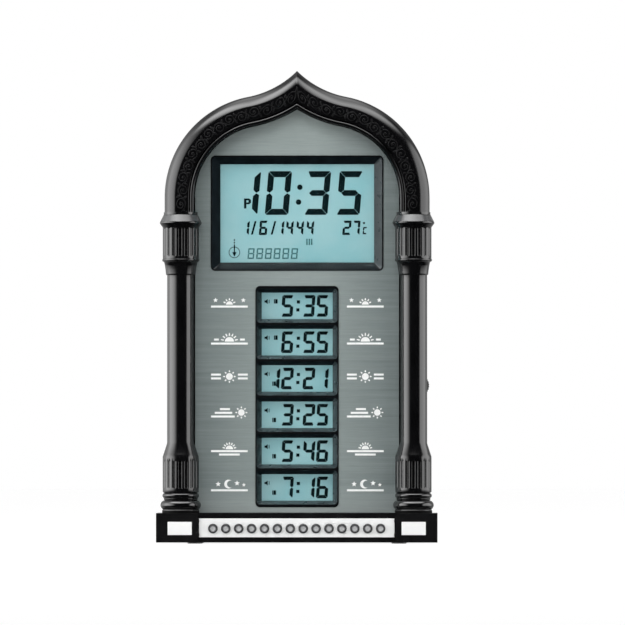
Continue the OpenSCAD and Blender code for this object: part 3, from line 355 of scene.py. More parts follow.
# Paler greys in the middle of each key cap: a painted highlight on the black dome.
KEY_DISH_PAINTED_HIGHLIGHT = plastic("key_dish_painted_highlight", (0.42, 0.424, 0.43), 0.26, vary=0.15, patch=1.5)
KEY_STEP_PAINTED_HIGHLIGHT = plastic("key_step_painted_highlight", (0.13, 0.132, 0.136), 0.26, vary=0.2, patch=1.5)
# Lit and shaded copies of the bezel's black: painted light and painted shade for its slopes.
BEZEL_PAINTED_LIGHT = plastic("bezel_painted_light", (0.027, 0.034, 0.037), 0.3, patch=9, grain=0.003, grain_size=0.4,
                    Specular_IOR_Level=0.28)
BEZEL_PAINTED_SHADE = plastic("bezel_painted_shade", (0.005, 0.008, 0.01), 0.6, vary=0.3, patch=9,
                      Specular_IOR_Level=0.03)
# Paler grey for the capital's ring: a painted highlight.
RING_PAINTED_HIGHLIGHT = plastic("ring_painted_highlight", (0.05, 0.051, 0.053), 0.2, **GLOSSY)
ARCH_BLACK = plastic("arch_black", (0.003, 0.003, 0.0034), 0.14, Specular_IOR_Level=0.4, **GLOSSY)
# Less glossy black inside the flutes' grooves: painted shade.
GROOVE_PAINTED_SHADE = plastic("groove_painted_shade", (0.003, 0.003, 0.0034), 0.28, vary=0.3, patch=3,
                       Specular_IOR_Level=0.3)
# Matt near-black: painted shade for the column's foot, under its torus.
RECESS_PAINTED_SHADE = plastic("recess_painted_shade", (0.002, 0.002, 0.002), 0.6, vary=0.3, patch=2, Specular_IOR_Level=0.04)
COPPER = metal("cell_copper", (0.62, 0.3, 0.13), 0.26)

SLOT_NODES = {
    "case_black": ["front_housing"],
    "trim_black": ["arch_moulding", "column_left", "column_right"],
    "plinth_black": ["plinth", "bottom_cover"],
    "rear_black": ["rear_cover", "battery_door", "dc_jack"],
    "foot_rubber": ["rubber_feet"],
    "plate_white": ["end_plates", "key_panel"],
    "brushed_face": ["face_panel"],
    "bezel_black": ["main_bezel", "small_bezel"],
    "clear_lens": ["main_lens", "small_lens"],
    "lcd_glass": ["main_lcd"] + [f"small_lcd_{i}" for i in range(1, 7)],
    "backlight_white": ["main_backlight", "small_backlights"],
    "holder_white": ["main_lcd_holder", "small_lcd_holder"],
    "strip_rubber": ["contact_strips"],
    "board_green": ["main_board", "key_board"],
    "chip_black": ["board_chips", "temperature_sensor"],
    "switch_black": ["key_switches", "volume_pot"],
    "key_black": [f"key_{i}" for i in range(1, 15)],
    "cell_wrap": ["batteries"],
    "spring_steel": ["battery_springs", "battery_contacts"],
    "speaker_steel": ["speaker_frame"],
    "speaker_paper": ["speaker_cone"],
    "magnet_grey": ["speaker_magnet"],
    "wheel_black": ["volume_wheel"],
    "screw_steel": ["case_screws", "board_screws"],
    "cable_grey": ["ribbon_cable"],
    "lead_red": ["inner_leads"],
}
NODE_SLOT = {node: slot for slot, nodes in SLOT_NODES.items() for node in nodes}
for node, slot in NODE_SLOT.items():
    for node_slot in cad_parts[node].material_slots:
        node_slot.material = MATS[slot]


# ---- mesh helpers
BEVEL_ANGLE = 32  # edges sharper than this are rounded
FLAT_ANGLE = 0.8  # faces that meet flatter than this are joined first


def new_piece(name, mesh, slot, node=None, body=BODY, mats=None, sharp=38):
    """Links a mesh in millimetres as a piece of the object."""
    mesh.transform(TO_METRES)
    mesh.update()
    mesh.shade_smooth()
    mesh.set_sharp_from_angle(angle=math.radians(sharp))
    obj = bpy.data.objects.new(name, mesh)
    scene.collection.objects.link(obj)
    for mat in mats or [MATS[slot]]:
        mesh.materials.append(mat)
    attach(obj, body)
    if node:
        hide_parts(node)
    return obj


def mesh_of(verts, faces, name):
    mesh = bpy.data.meshes.new(name)
    mesh.from_pydata([tuple(v) for v in verts], [], faces)
    bm = bmesh.new()
    bm.from_mesh(mesh)
    bmesh.ops.remove_doubles(bm, verts=bm.verts, dist=1e-5)
    bmesh.ops.recalc_face_normals(bm, faces=bm.faces)
    bm.to_mesh(mesh)
    bm.free()
    return mesh


def loft(loops):
    """A closed body between successive loops of points: its vertices and faces."""
    n = len(loops[0])
    verts = [p for loop in loops for p in loop]
    faces = []
    for i in range(len(loops) - 1):
        for k in range(n):
            a, b = i * n + k, i * n + (k + 1) % n
            faces.append((a, b, b + n, a + n))
    faces.append(tuple(range(n)))
    faces.append(tuple((len(loops) - 1) * n + k for k in range(n)))
    return verts, faces


def join(parts):
    verts, faces = [], []
    for part_verts, part_faces in parts:
        first = len(verts)
        verts += part_verts
        faces += [tuple(first + i for i in face) for face in part_faces]
    return verts, faces


def prism(outline, front, back):
    """A flat outline of (x, z) points as a slab between two values of y."""
    return loft([[(x, y, z) for x, z in outline] for y in (front, back)])


def arc(cx, cy, r, start, end, steps):
    """Points of an arc between two angles, both ends included."""
    angles = [math.radians(start + (end - start) * i / steps) for i in range(steps + 1)]
    return [(cx + r * math.cos(a), cy + r * math.sin(a)) for a in angles]


def circle(cx, cz, r, steps):
    return arc(cx, cz, r, 0, 360, steps)[:-1]


def rect(x0, x1, z0, z1):
    return [(x0, z0), (x1, z0), (x1, z1), (x0, z1)]


def softened(node, width, segments=3, body=BODY):
    """A copy of a CAD node's shape with its edges rounded, in that node's place."""
    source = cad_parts[node].data
    mesh = bpy.data.meshes.new(node + "_soft")
    mesh.from_pydata([tuple(v.co) for v in source.vertices], [], [tuple(p.vertices) for p in source.polygons])
    bm = bmesh.new()
    bm.from_mesh(mesh)
    bmesh.ops.remove_doubles(bm, verts=bm.verts, dist=1e-6)
    bmesh.ops.dissolve_limit(bm, angle_limit=math.radians(FLAT_ANGLE), verts=bm.verts, edges=bm.edges)
    bmesh.ops.triangulate(bm, faces=[f for f in bm.faces if len(f.verts) > 4])
    bm.to_mesh(mesh)
    bm.free()
    mesh.shade_smooth()
    obj = bpy.data.objects.new(node + "_soft", mesh)
    scene.collection.objects.link(obj)
    bevel = obj.modifiers.new("edges", "BEVEL")
    bevel.width = width * MM
    bevel.segments = segments
    bevel.limit_method = "ANGLE"
    bevel.angle_limit = math.radians(BEVEL_ANGLE)
    bevel.miter_outer = "MITER_ARC"
    bevel.use_clamp_overlap = True
    bevel.harden_normals = True
    graph = bpy.context.evaluated_depsgraph_get()
    rounded = bpy.data.meshes.new_from_object(obj.evaluated_get(graph))
    obj.modifiers.clear()
    obj.data = rounded
    slot = NODE_SLOT[node]
    rounded.materials.clear()
    rounded.materials.append(MATS[slot])
    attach(obj, body)
    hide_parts(node)
    return obj


# ---- the arch moulding
# Its outer edge rises straight from the capital, turns over a round shoulder and
# then follows a hollow curve up to the tip.
SEAT_Y = -9.0
CAPITAL_Z, SPRING_Z, TIP_Z = 224.2, 234.2, 320.0
ARCH_HW, SHOULDER_R, HOLLOW_R = 89.7, 69.4, 64.8
SHOULDER_X = ARCH_HW - SHOULDER_R
ARM = SHOULDER_R + HOLLOW_R
TIP_DIST = math.hypot(SHOULDER_X, TIP_Z - SPRING_Z)
TURN_RAD = (math.atan2(TIP_Z - SPRING_Z, -SHOULDER_X)
            - math.acos((TIP_DIST ** 2 + ARM ** 2 - HOLLOW_R ** 2) / (2 * ARM * TIP_DIST)))
HOLLOW_X = SHOULDER_X + ARM * math.cos(TURN_RAD)
HOLLOW_Z = SPRING_Z + ARM * math.sin(TURN_RAD)
HOLLOW_RAD = TURN_RAD + math.pi


def hollow_end(r):
    """Angle in radians about the hollow's centre at which radius r meets the middle plane."""
    return math.pi + math.acos(HOLLOW_X / r)


LEG = SPRING_Z - CAPITAL_Z
SHOULDER_LEN = SHOULDER_R * TURN_RAD
HOLLOW_LEN = HOLLOW_R * (HOLLOW_RAD - hollow_end(HOLLOW_R))
HALF_LEN = LEG + SHOULDER_LEN + HOLLOW_LEN


def arch_point(u, s, h, side=1):
    """A point u along one half's outer edge, s inward from it and h off the seat."""
    if u <= LEG:
        x, z = ARCH_HW - s, CAPITAL_Z + u
    elif u <= LEG + SHOULDER_LEN:
        a = (u - LEG) / SHOULDER_R
        x, z = SHOULDER_X + (SHOULDER_R - s) * math.cos(a), SPRING_Z + (SHOULDER_R - s) * math.sin(a)
    else:
        share = (u - LEG - SHOULDER_LEN) / HOLLOW_LEN
        r = HOLLOW_R + s
        a = HOLLOW_RAD + share * (hollow_end(r) - HOLLOW_RAD)
        x, z = HOLLOW_X + r * math.cos(a), HOLLOW_Z + r * math.sin(a)
    return (side * x, SEAT_Y - h, z)


# The section: a round edge, the embossed band, a groove and a bead
ARCH_W, BAND_RISE = 20.2, 9.0
ROUND_W, ROUND_R, ROUND_MID, ROUND_SINK = 7.4, 12.5, 11.73, 2.73
BAND_W, BAND_CROWN, BAND_END = 9.3, 0.25, 16.2
EDGE_START, EDGE_REACH, EDGE_STEPS = 0.02, 7.38, 14
LEG_ROWS, SHOULDER_ROWS, HOLLOW_ROWS = 3, 60, 36


def crown(s):
    """Height of the moulding's face at s, slightly crowned across the embossed band."""
    if s <= ROUND_W:
        return math.sqrt(ROUND_R ** 2 - (s - ROUND_MID) ** 2) - ROUND_SINK
    share = (s - ROUND_W) / BAND_W
    return BAND_RISE + BAND_CROWN * math.sin(math.pi * min(1, share)) - BAND_CROWN * share * share


def arch_section():
    """The moulding's section as points (s, h)."""
    face = [EDGE_START + EDGE_REACH * (i / EDGE_STEPS) ** 1.3 for i in range(EDGE_STEPS + 1)]
    face += [7.9, 8.5, 10, 11.5, 13, 14.5, 15.6, BAND_END]
    lip = crown(16.4)
    return ([(0, 0), (0, 1.2)] + [(s, crown(s)) for s in face]
            + [(16.45, lip - 0.08), (16.6, lip - 0.4), (16.7, 7.2), (16.95, 6.95)]
            + arc(18.6, 7.4, 1.4, 198, -18, 10)
            + [(ARCH_W, 6.9), (ARCH_W, 0)])


def arch_loops():
    """The section, repeated from the right foot over the tip to the left foot."""
    section = arch_section()
    rows = [LEG * i / LEG_ROWS for i in range(LEG_ROWS + 1)]
    rows += [LEG + SHOULDER_LEN * i / SHOULDER_ROWS for i in range(1, SHOULDER_ROWS + 1)]
    rows += [LEG + SHOULDER_LEN + HOLLOW_LEN * i / HOLLOW_ROWS for i in range(1, HOLLOW_ROWS + 1)]
    right = [[arch_point(u, s, h) for s, h in section] for u in rows]
    return right + [[arch_point(u, s, h, -1) for s, h in section] for u in reversed(rows[:-1])]


# The relief on the band: a traditional vine scroll, a wave with a spiral, a bud and
# two leaves in each bend. Its points are (u, s).
SCROLL_MID, SCROLL_SWING, SCROLL_WAVES, WAVE_STEPS = 11.85, 2.5, 7, 24
SCROLL_STEP = HALF_LEN / SCROLL_WAVES
SPIRAL_R, SPIRAL_LEAST, SPIRAL_STEPS = 2.9, 0.55, 26
BUD, LEAF, LEAF_STEPS = 0.62, 2.9, 6
LEAF_NEAR, LEAF_FAR = 7.6, 15.9
STRIP = ((-1, 0), (-0.72, 0.7), (0, 1), (0.72, 0.7), (1, 0), (0, -0.2))
STRIP_SINK = 0.05


def ribbon(points, half_width, height):
    """A domed strip along points on the band; half_width is a function of the share of its length."""
    loops = []
    last = len(points) - 1
    for i, (u, s) in enumerate(points):
        u0, s0 = points[max(0, i - 1)]
        u1, s1 = points[min(last, i + 1)]
        du, ds = u1 - u0, s1 - s0
        size = math.hypot(du, ds) or 1
        w = half_width(i / last)
        loops.append([(u - ds / size * w * k, s + du / size * w * k, e * height - STRIP_SINK)
                      for k, e in STRIP])
    return loops


def stem():
    points = []
    count = SCROLL_WAVES * WAVE_STEPS
    for i in range(count + 1):
        u = HALF_LEN * i / count
        swing = SCROLL_SWING * math.sin(2 * math.pi * u / SCROLL_STEP)
        points.append((min(u, HALF_LEN - 0.3), SCROLL_MID + swing))
    return ribbon(points, lambda t: 0.46, 0.12)


def spiral(u, s, sign):
    points = []
    for i in range(SPIRAL_STEPS + 1):
        share = i / SPIRAL_STEPS
        a = math.radians(sign * (50 - 500 * share))
        r = SPIRAL_R * (1 - share) + SPIRAL_LEAST
        points.append((u + r * 1.25 * math.cos(a), s + r * math.sin(a)))
    return ribbon(points, lambda t: 0.42 - 0.14 * t, 0.11)


def bud(u, s):
    points = [(u - BUD, s), (u, s), (u + BUD, s)]
    return ribbon(points, lambda t: 0.3 + 0.5 * math.sin(math.pi * t), 0.14)


def leaf(u, lean, sign):
    base_u, base_s = u + lean * SCROLL_STEP * 0.2, SCROLL_MID + sign * 0.9
    tip_u, tip_s = base_u + lean * LEAF * 0.5, base_s + sign * LEAF * 0.95
    points = []
    for i in range(LEAF_STEPS + 1):
        share = i / LEAF_STEPS
        s = base_s + (tip_s - base_s) * share
        points.append((base_u + (tip_u - base_u) * share, min(LEAF_FAR, max(LEAF_NEAR, s))))
    return ribbon(points, lambda t: 0.12 + 0.85 * math.sin(math.pi * min(1, t * 1.02)) ** 0.8, 0.14)


def scroll():
    """The strips of the vine scroll along one half of the arch."""
    strips = [stem()]
    for k in range(SCROLL_WAVES * 2):
        sign = 1 if k % 2 == 0 else -1
        u = SCROLL_STEP * (0.25 + 0.5 * k)
        s = SCROLL_MID - sign * 0.7
        strips += [spiral(u, s, sign), bud(u, s), leaf(u, -1, sign), leaf(u, 1, sign)]
    return strips


def on_arch(strip, side):
    """A strip laid on one half of the arch."""
    return loft([[arch_point(min(HALF_LEN, max(0.2, u)), s, crown(min(BAND_END, s)) + h, side)
                  for u, s, h in loop] for loop in strip])


relief = join([on_arch(strip, side) for side in (1, -1) for strip in scroll()])
new_piece("arch", mesh_of(*loft(arch_loops()), "arch"), "trim_black", "arch_moulding",
          mats=[ARCH_BLACK], sharp=42)
new_piece("arch_relief", mesh_of(*relief, "arch_relief"), "trim_black", mats=[RELIEF], sharp=42)


# ---- columns
COL_X, SHAFT_R, DRUM_R, FOOT_R = 78.8, 9.2, 12.2, 12.6
PANEL_Y = -10.5
# Each drum has grooves of half width GROOVE, and reeds between them whose edges fall by
# REED_DROP. Both get shallower towards the sides, down to SIDE_SHARE of their depth.
FLUTES, GROOVE, GROOVE_DEPTH, REED_DROP = 9, 0.92, 1.2, 0.42
SIDE_SHARE, DEPTH_FALL = 0.2, 1.6
FLUTED = ((37.4, 56.0), (194.4, 213.4))
COLUMN_STEPS = 198
FOOT_TOP = 22.3
RING_LOW, RING_HIGH = 217.9, 222.1
GROOVE_SHADE_START = 0.46  # how deep in a groove its painted shade starts
PANEL_CLEAR = 0.12  # how far the inner side stays in front of the face


def fluting(theta, z):
    """How deep the drum's skin lies at angle theta (degrees from its side) and height z."""
    pitch = 180 / FLUTES
    off = abs(theta % pitch - pitch / 2)
    from_front = abs((theta // pitch + 0.5) * pitch - 90)
    share = max(SIDE_SHARE, math.cos(math.radians(DEPTH_FALL * from_front)))
    reed_half = math.radians(pitch / 2) * DRUM_R - GROOVE
    to_groove, to_ridge = math.radians(off) * DRUM_R, math.radians(pitch / 2 - off) * DRUM_R
    for low, high in FLUTED:
        end = max(low + GROOVE - z, z - (high - GROOVE), 0)
        if end < GROOVE:
            half = math.sqrt(GROOVE ** 2 - end ** 2)
            if to_groove < half:
                return GROOVE_DEPTH * share
            return REED_DROP * share * min(1, to_ridge / reed_half) ** 4 * half / GROOVE
    return 0


def drum_rows(low, high):
    """Heights of the rows along a fluted drum, close together where the grooves end."""
    ends = (0, 0.08, 0.18, 0.35, 0.56, 0.8)
    return ([low + e for e in ends] + [low + (high - low) * k / 4 for k in (1, 2, 3)]
            + [high - e for e in reversed(ends)])


def column_outline():
    """Radius and height from the foot up: torus, bead, drum, shaft, neck, drum, ring, capital."""
    return [
        (FOOT_R, 20.6), (FOOT_R, FOOT_TOP), (12.3, 22.9), *arc(10.4, 26.0, 3.3, -60, 80, 14),
        (11.5, 29.8), (11.5, 30.5), *arc(10.55, 32.4, 1.85, -70, 75, 8),
        (11.7, 34.5), (12.1, 34.8), (DRUM_R, 35.1), (DRUM_R, 37.2),
        *((DRUM_R, z) for z in drum_rows(*FLUTED[0])),
        (DRUM_R, 58.4), (DRUM_R - 0.1, 59.2), (11.7, 60.2), (SHAFT_R + 0.12, 67.6), (SHAFT_R, 68.4),
        *((SHAFT_R, z) for z in (90, 120, 150, 178, 181.3)),
        (SHAFT_R + 0.05, 181.6), (9.7, 181.7), (9.9, 181.85), (10.0, 182.1), (10.05, 182.6),
        (10.3, 185), (10.7, 187.8), (11.2, 190.2), (11.8, 190.7), (12.4, 191.1), (12.6, 191.6),
        (12.5, 192.2), (DRUM_R, 192.6), (DRUM_R, 194.2),
        *((DRUM_R, z) for z in drum_rows(*FLUTED[1])),
        (DRUM_R, 213.8), (12.5, 214.3), (13.9, 216.2), (14.15, 216.7), (14.15, 217.3),
        (13.97, 217.75), (13.87, 217.96), (11.83, 222.04), (11.73, 222.25), (11.5, 222.7),
        (11.45, 224.2)]


def column_loop(side, radius, z):
    """Points of a half-round column at one height, from its inner side over the front."""
    loop = []
    for i in range(COLUMN_STEPS + 1):
        theta = 180 * i / COLUMN_STEPS
        r = radius - (fluting(min(theta, 179.99), z) if radius == DRUM_R else 0)
        a = math.radians(180 + theta)
        x, y = r * math.cos(a), SEAT_Y + r * math.sin(a)
        if x < 0:
            y = min(y, PANEL_Y - PANEL_CLEAR)
        loop.append((side * (COL_X + x), y, z))
    return loop


def column(name, side):
    """A half-round column with painted shade in its grooves and at its foot, and a painted highlight on its
    ring.
    """
    loops = [column_loop(side, radius, z) for radius, z in column_outline()]
    obj = new_piece(name + "_turned", mesh_of(*loft(loops), name), "trim_black", name, sharp=50,
                    mats=[MATS["trim_black"], GROOVE_PAINTED_SHADE, RECESS_PAINTED_SHADE, RING_PAINTED_HIGHLIGHT])
    for poly in obj.data.polygons:
        c = poly.center / MM
        deep = math.hypot(abs(c.x) - COL_X, c.y - SEAT_Y) < DRUM_R - GROOVE_SHADE_START and c.y < PANEL_Y - 0.3
        # the foot: painted shade
        if c.z < FOOT_TOP:
            poly.material_index = 2
        # the ring: painted highlight
        elif RING_LOW < c.z < RING_HIGH:
            poly.material_index = 3
        # the grooves: painted shade
        elif deep and any(low < c.z < high for low, high in FLUTED):
            poly.material_index = 1


column("column_right", 1)
column("column_left", -1)


# ---- housing, plinth, covers, bezels
softened("front_housing", 0.6)
softened("plinth", 0.7, segments=4)
softened("rear_cover", 0.35)
softened("bottom_cover", 0.3)
softened("rubber_feet", 0.3)
softened("battery_door", 0.3, body="battery_door")
softened("end_plates", 0.35)
softened("key_panel", 0.18, segments=2)
softened("face_panel", 0.12, segments=2)
BEZEL_RIM = 0.7


def bezel(node, width, small):
    """A bezel whose slopes that face the light get painted light, and those turned away a matt black of
    painted shade.
    """
    obj = softened(node, width)
    obj.data.materials.append(BEZEL_PAINTED_LIGHT)
    obj.data.materials.append(BEZEL_PAINTED_SHADE)
    low, high = (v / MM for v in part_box(node))
    for poly in obj.data.polygons:
        c, n = poly.center / MM, poly.normal
        to_rim = min(c.x - low.x, high.x - c.x, c.z - low.z, high.z - c.z)
        if to_rim > BEZEL_RIM and n.y < -0.1:
            if n.x < -0.3 or (small and n.z > 0.3):
                poly.material_index = 1
            elif n.z < -0.3 or (n.x > 0.3 and not small):
                poly.material_index = 2


bezel("main_bezel", 0.45, small=False)
bezel("small_bezel", 0.35, small=True)
softened("volume_wheel", 0.12, segments=2, body="volume_wheel")
softened("dc_jack", 0.2, segments=2)


# ---- display windows and digits
WINDOW_R, WINDOW_GAP = 0.4, 0.15
GLASS_Y = -3.9
INK_Y = (GLASS_Y - 0.06, GLASS_Y - 0.01)
SLANT, ROW_SLANT = 5.0, 4.0  # of the large and the small displays' digits
DIGITS = {"0": "abcdef", "1": "bc", "2": "abged", "3": "abgcd", "4": "fgbc", "5": "afgcd",
          "6": "afgedc", "7": "abc", "8": "abcdefg"}


def window(node):
    """A display's clear window, with rounded corners and a gap behind it."""
    low, high = (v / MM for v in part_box(node))
    left, right, base, top = low.x + WINDOW_R, high.x - WINDOW_R, low.z + WINDOW_R, high.z - WINDOW_R
    outline = []
    for x, z, start in ((right, top, 0), (left, top, 90), (left, base, 180), (right, base, 270)):
        outline += arc(x, z, WINDOW_R, start, start + 90, 4)
    slab = prism(outline, low.y, high.y - WINDOW_GAP)
    new_piece(node.replace("lens", "window"), mesh_of(*slab, node), "clear_lens", node)


def ink(name, shapes, mat=LCD_INK, depth=INK_Y, slot="lcd_glass"):
    """Flat outlines as one printed or lit piece."""
    parts = [prism(shape, *depth) for shape in shapes]
    new_piece(name, mesh_of(*join(parts), name), slot, mats=[mat])


def seven(x, z, w, h, t, segments, slant=SLANT, gap=0.035, cut=0.26):
    """Seven-segment strokes of one digit.

    Its cell's lower left corner is (x, z); w, h and t are its width, height and stroke.
    gap and cut are shares of the stroke: between strokes, and off the outer corners.
    """
    g = gap * t
    c = cut * t
    m = h / 2

    def outer_bar(left, right):
        """The top bar, mitred inside against a lit neighbour and nearly square beside an unlit one."""
        near, far = (t + g * 0.4 if beside in segments else t * 0.6 for beside in (left, right))
        return [(c * 0.5 + g, h - c * 0.5), (c + g, h), (w - c - g, h), (w - c * 0.5 - g, h - c * 0.5),
                (w - far, h - t), (near, h - t)]

    def flipped(points):
        return [(px, h - pz) for px, pz in points]

    upright = [(0, h - c - g), (c * 0.5, h - c * 0.5 - g), (t, h - t - g), (t, m + t * 0.5 + g * 0.3),
               (t * 0.5, m + g), (0, m + t * 0.3 + g)]
    mirrored = [(w - px, pz) for px, pz in upright]
    middle = [(t * 0.5 + g, m), (t + g * 0.5, m + t * 0.48), (w - t - g * 0.5, m + t * 0.48),
              (w - t * 0.5 - g, m), (w - t - g * 0.5, m - t * 0.48), (t + g * 0.5, m - t * 0.48)]
    shapes = {"a": outer_bar("f", "b"), "b": mirrored, "c": flipped(mirrored),
              "d": flipped(outer_bar("e", "c")), "e": flipped(upright), "f": upright, "g": middle}
    lean = math.tan(math.radians(slant))
    return [[(x + px + pz * lean, z + pz) for px, pz in shapes[s]] for s in segments]


def letter_p(x, z, h):
    """The small afternoon mark beside the hour, drawn as a stem and a bowl."""
    stem_w, t = h * 0.24, h * 0.19
    inner, outer, foot = x + stem_w, x + h * 0.7, z + h * 0.42
    bowl = [(inner, z + h), (x + h * 0.52, z + h), (outer, z + h * 0.86), (outer, z + h * 0.58),
            (x + h * 0.52, foot), (inner, foot), (inner, foot + t), (x + h * 0.42, foot + t),
            (x + h * 0.47, z + h * 0.71), (x + h * 0.42, z + h - t), (inner, z + h - t)]
    return [rect(x, inner, z, z + h), bowl]


window("main_lens")
window("small_lens")


# ---- the large display
# TIME and DATE hold each digit, the column of its left edge and its width in
# millimetres. The date row ends in the temperature.
TIME_TOP_PX, TIME_BASE_PX = 170.6, 214.4
TIME = (("1", 243.4, 9.2), ("0", 264.4, 16.0), ("3", 303.6, 16.0), ("5", 335.8, 16.0))
COLON_PX, COLON_MID_PX, COLON_ROWS_PX = 299, 194, (186.7, 201.6)
DATE_TOP_PX, DATE_BASE_PX = 220.2, 234.6
DATE = (("1", 243.9, 3.0), ("6", 258.4, 5.4), ("1", 278.6, 3.0), ("4", 285.2, 4.9),
        ("4", 295.5, 4.9), ("4", 305.7, 4.9), ("2", 342.0, 5.6), ("7", 352.0, 4.9))
SLASHES_PX = (253.4, 273.2)
UNIT_PX, UNIT_TOP_PX, UNIT_BASE_PX = 362.4, 226.6, 233.9
DEGREE_PX, DEGREE_ROW_PX = 363.9, 222.6
AFTERNOON_PX, AFTERNOON_ROW_PX = 243.6, 208
COMPASS_PX, COMPASS_ROW_PX = 234, 252
UNLIT_PX, UNLIT_PITCH_PX, UNLIT_TOP_PX, UNLIT_BASE_PX = 247, 8.7, 247.8, 258.6
STROKES_PX, STROKES_TOP_PX, STROKES_BASE_PX = 306, 238.4, 244.6
COMPASS_OUTER, COMPASS_INNER = 3.9, 3.35
TIME_STROKE, DATE_STROKE, SMALL_STROKE = 4.1, 1.6, 0.95


def time_digits():
    base, tall = px_z(TIME_BASE_PX), px_z(TIME_TOP_PX) - px_z(TIME_BASE_PX)
    lean = math.tan(math.radians(SLANT))
    shapes = []
    for char, left, width in TIME:
        shapes += seven(px_x(left), base, width, tall, TIME_STROKE, DIGITS[char])
    for row in COLON_ROWS_PX:
        x = px_x(COLON_PX) + (px_z(row) - px_z(COLON_MID_PX)) * lean
        shapes.append(circle(x, px_z(row), 1.85, 20))
    return shapes


def date_digits():
    """The date, its slashes and the temperature."""
    base, top = px_z(DATE_BASE_PX), px_z(DATE_TOP_PX)
    shapes = []
    for char, left, width in DATE:
        shapes += seven(px_x(left), base, width, top - base, DATE_STROKE, DIGITS[char], gap=0.03)
    for column_px in SLASHES_PX:
        x = px_x(column_px)
        shapes.append([(x - 1.9, base + 0.3), (x - 0.6, base + 0.3), (x + 1.9, top - 0.3),
                       (x + 0.6, top - 0.3)])
    base, top = px_z(UNIT_BASE_PX), px_z(UNIT_TOP_PX)
    shapes += seven(px_x(UNIT_PX), base, 2.8, top - base, SMALL_STROKE, "afed")
    shapes.append(circle(px_x(DEGREE_PX), px_z(DEGREE_ROW_PX), 0.75, 14))
    return shapes


def compass():
    """A dashed ring with a needle and two dots above it."""
    x, z = px_x(COMPASS_PX), px_z(COMPASS_ROW_PX)
    shapes = []
    for start in range(0, 360, 15):
        inner = arc(x, z, COMPASS_INNER, start, start + 12, 2)
        shapes.append(arc(x, z, COMPASS_OUTER, start, start + 12, 2) + inner[::-1])
    shapes.append([(x, z - 3.0), (x + 1.5, z + 0.2), (x + 0.4, z + 0.2), (x + 0.4, z + 5.4),
                   (x - 0.4, z + 5.4), (x - 0.4, z + 0.2), (x - 1.5, z + 0.2)])
    return shapes + [circle(x, z + rise, 0.55, 12) for rise in (6.6, 8.4)]


def unlit_cells():
    """Six unlit cells where a place name would be, and three strokes above them."""
    base, top = px_z(UNLIT_BASE_PX), px_z(UNLIT_TOP_PX)
    shapes = []
    for k in range(6):
        left = px_x(UNLIT_PX + UNLIT_PITCH_PX * k)
        shapes += seven(left, base, 4.4, top - base, SMALL_STROKE, DIGITS["8"])
    left, base, top = px_x(STROKES_PX), px_z(STROKES_BASE_PX), px_z(STROKES_TOP_PX)
    return shapes + [rect(left + d, left + d + 1, base, top) for d in (0, 1.6, 3.2)]


ink("main_digits", time_digits() + date_digits() + letter_p(px_x(AFTERNOON_PX), px_z(AFTERNOON_ROW_PX), 6.8))
ink("compass", compass())
ink("place_dashes", unlit_cells(), LCD_FAINT)


# ---- the six small displays
ROW_Z, ROW_PITCH = 99.4, 24.6
ROW_W, ROW_H, ROW_STROKE = 7.9, 14.7, 2.25
DIGIT_LEFTS = (-20.2, -11.1, 3.5, 12.6)
DOT = 1.1  # half the width of a colon's dot
TIMES = (("5:35", False), ("6:55", False), ("12:21", True), ("3:25", True), ("5:46", True), ("7:16", True))
SPEAKER_BODY = ((-22.2, 2.3), (-21.3, 2.3), (-20.0, 1.3), (-20.0, 4.7), (-21.3, 3.7), (-22.2, 3.7))
SPEAKER_WAVE = ((-19.3, 1.9), (-18.8, 1.7), (-18.8, 4.3), (-19.3, 4.1))


def row_shapes(text, afternoon, mid):
    """A small display's digits, colon, half-day mark and loudspeaker sign about height mid."""
    shapes = []
    for char, left in zip(text.replace(":", "").rjust(4), DIGIT_LEFTS):
        if char != " ":
            shapes += seven(left, mid - ROW_H / 2, ROW_W, ROW_H, ROW_STROKE, DIGITS[char], ROW_SLANT, 0.03,
                            0.42)
    for d in (2.7, -2.7):
        x, z = 0.6 + d * 0.07, mid + d
        shapes.append(rect(x - DOT, x + DOT, z - DOT, z + DOT))
    x, z = (-16.9, mid - 5.0) if afternoon else (-15.8, mid + 1.6)
    shapes += [rect(x, x + 0.72, z, z + 3), rect(x + 0.9, x + 2.5, z, z + 3)]
    return shapes + [[(px, mid + pz) for px, pz in sign] for sign in (SPEAKER_BODY, SPEAKER_WAVE)]


for row, (text, afternoon) in enumerate(TIMES):
    ink(f"row_digits_{row + 1}", row_shapes(text, afternoon, ROW_Z + (2.5 - row) * ROW_PITCH))


# ---- print on the face
PRINT_COLUMNS_PX = (229.3, 365.3)
PRINT_ROWS_PX = (302.5, 339.5, 376.5, 412.5, 449.5, 486)
PRINT_Y = (PANEL_Y - 0.05, PANEL_Y + 0.03)
PRINT_HW, BAR_T, RAY_T = 12.4, 1.35, 0.5
NARROW_RAYS = (14, 40, 65, 90, 115, 140, 166)
WIDE_RAYS = (25, 57, 90, 123, 155)


def rays(cx, cz, r, angles, inner, outer):
    """Tapered rays of a sun of radius r at the given angles."""
    shapes = []
    for deg in angles:
        ux, uz = math.cos(math.radians(deg)), math.sin(math.radians(deg))
        near_x, near_z = cx + ux * r * inner, cz + uz * r * inner
        far_x, far_z = cx + ux * r * outer, cz + uz * r * outer
        wide, thin = RAY_T, RAY_T * 0.6
        shapes.append([(near_x - uz * wide, near_z + ux * wide), (far_x - uz * thin, far_z + ux * thin),
                       (far_x + uz * thin, far_z - ux * thin), (near_x + uz * wide, near_z - ux * wide)])
    return shapes


def half_sun(cx, low, r, angles):
    return [arc(cx, low, r, 0, 180, 24)] + rays(cx, low, r, angles, 1.28, 1.9)


def full_sun(cx, cz, r):
    return [circle(cx, cz, r, 26)] + rays(cx, cz, r, range(0, 360, 45), 1.3, 1.85)


def bar(x0, x1, z):
    return rect(x0, x1, z - BAR_T / 2, z + BAR_T / 2)


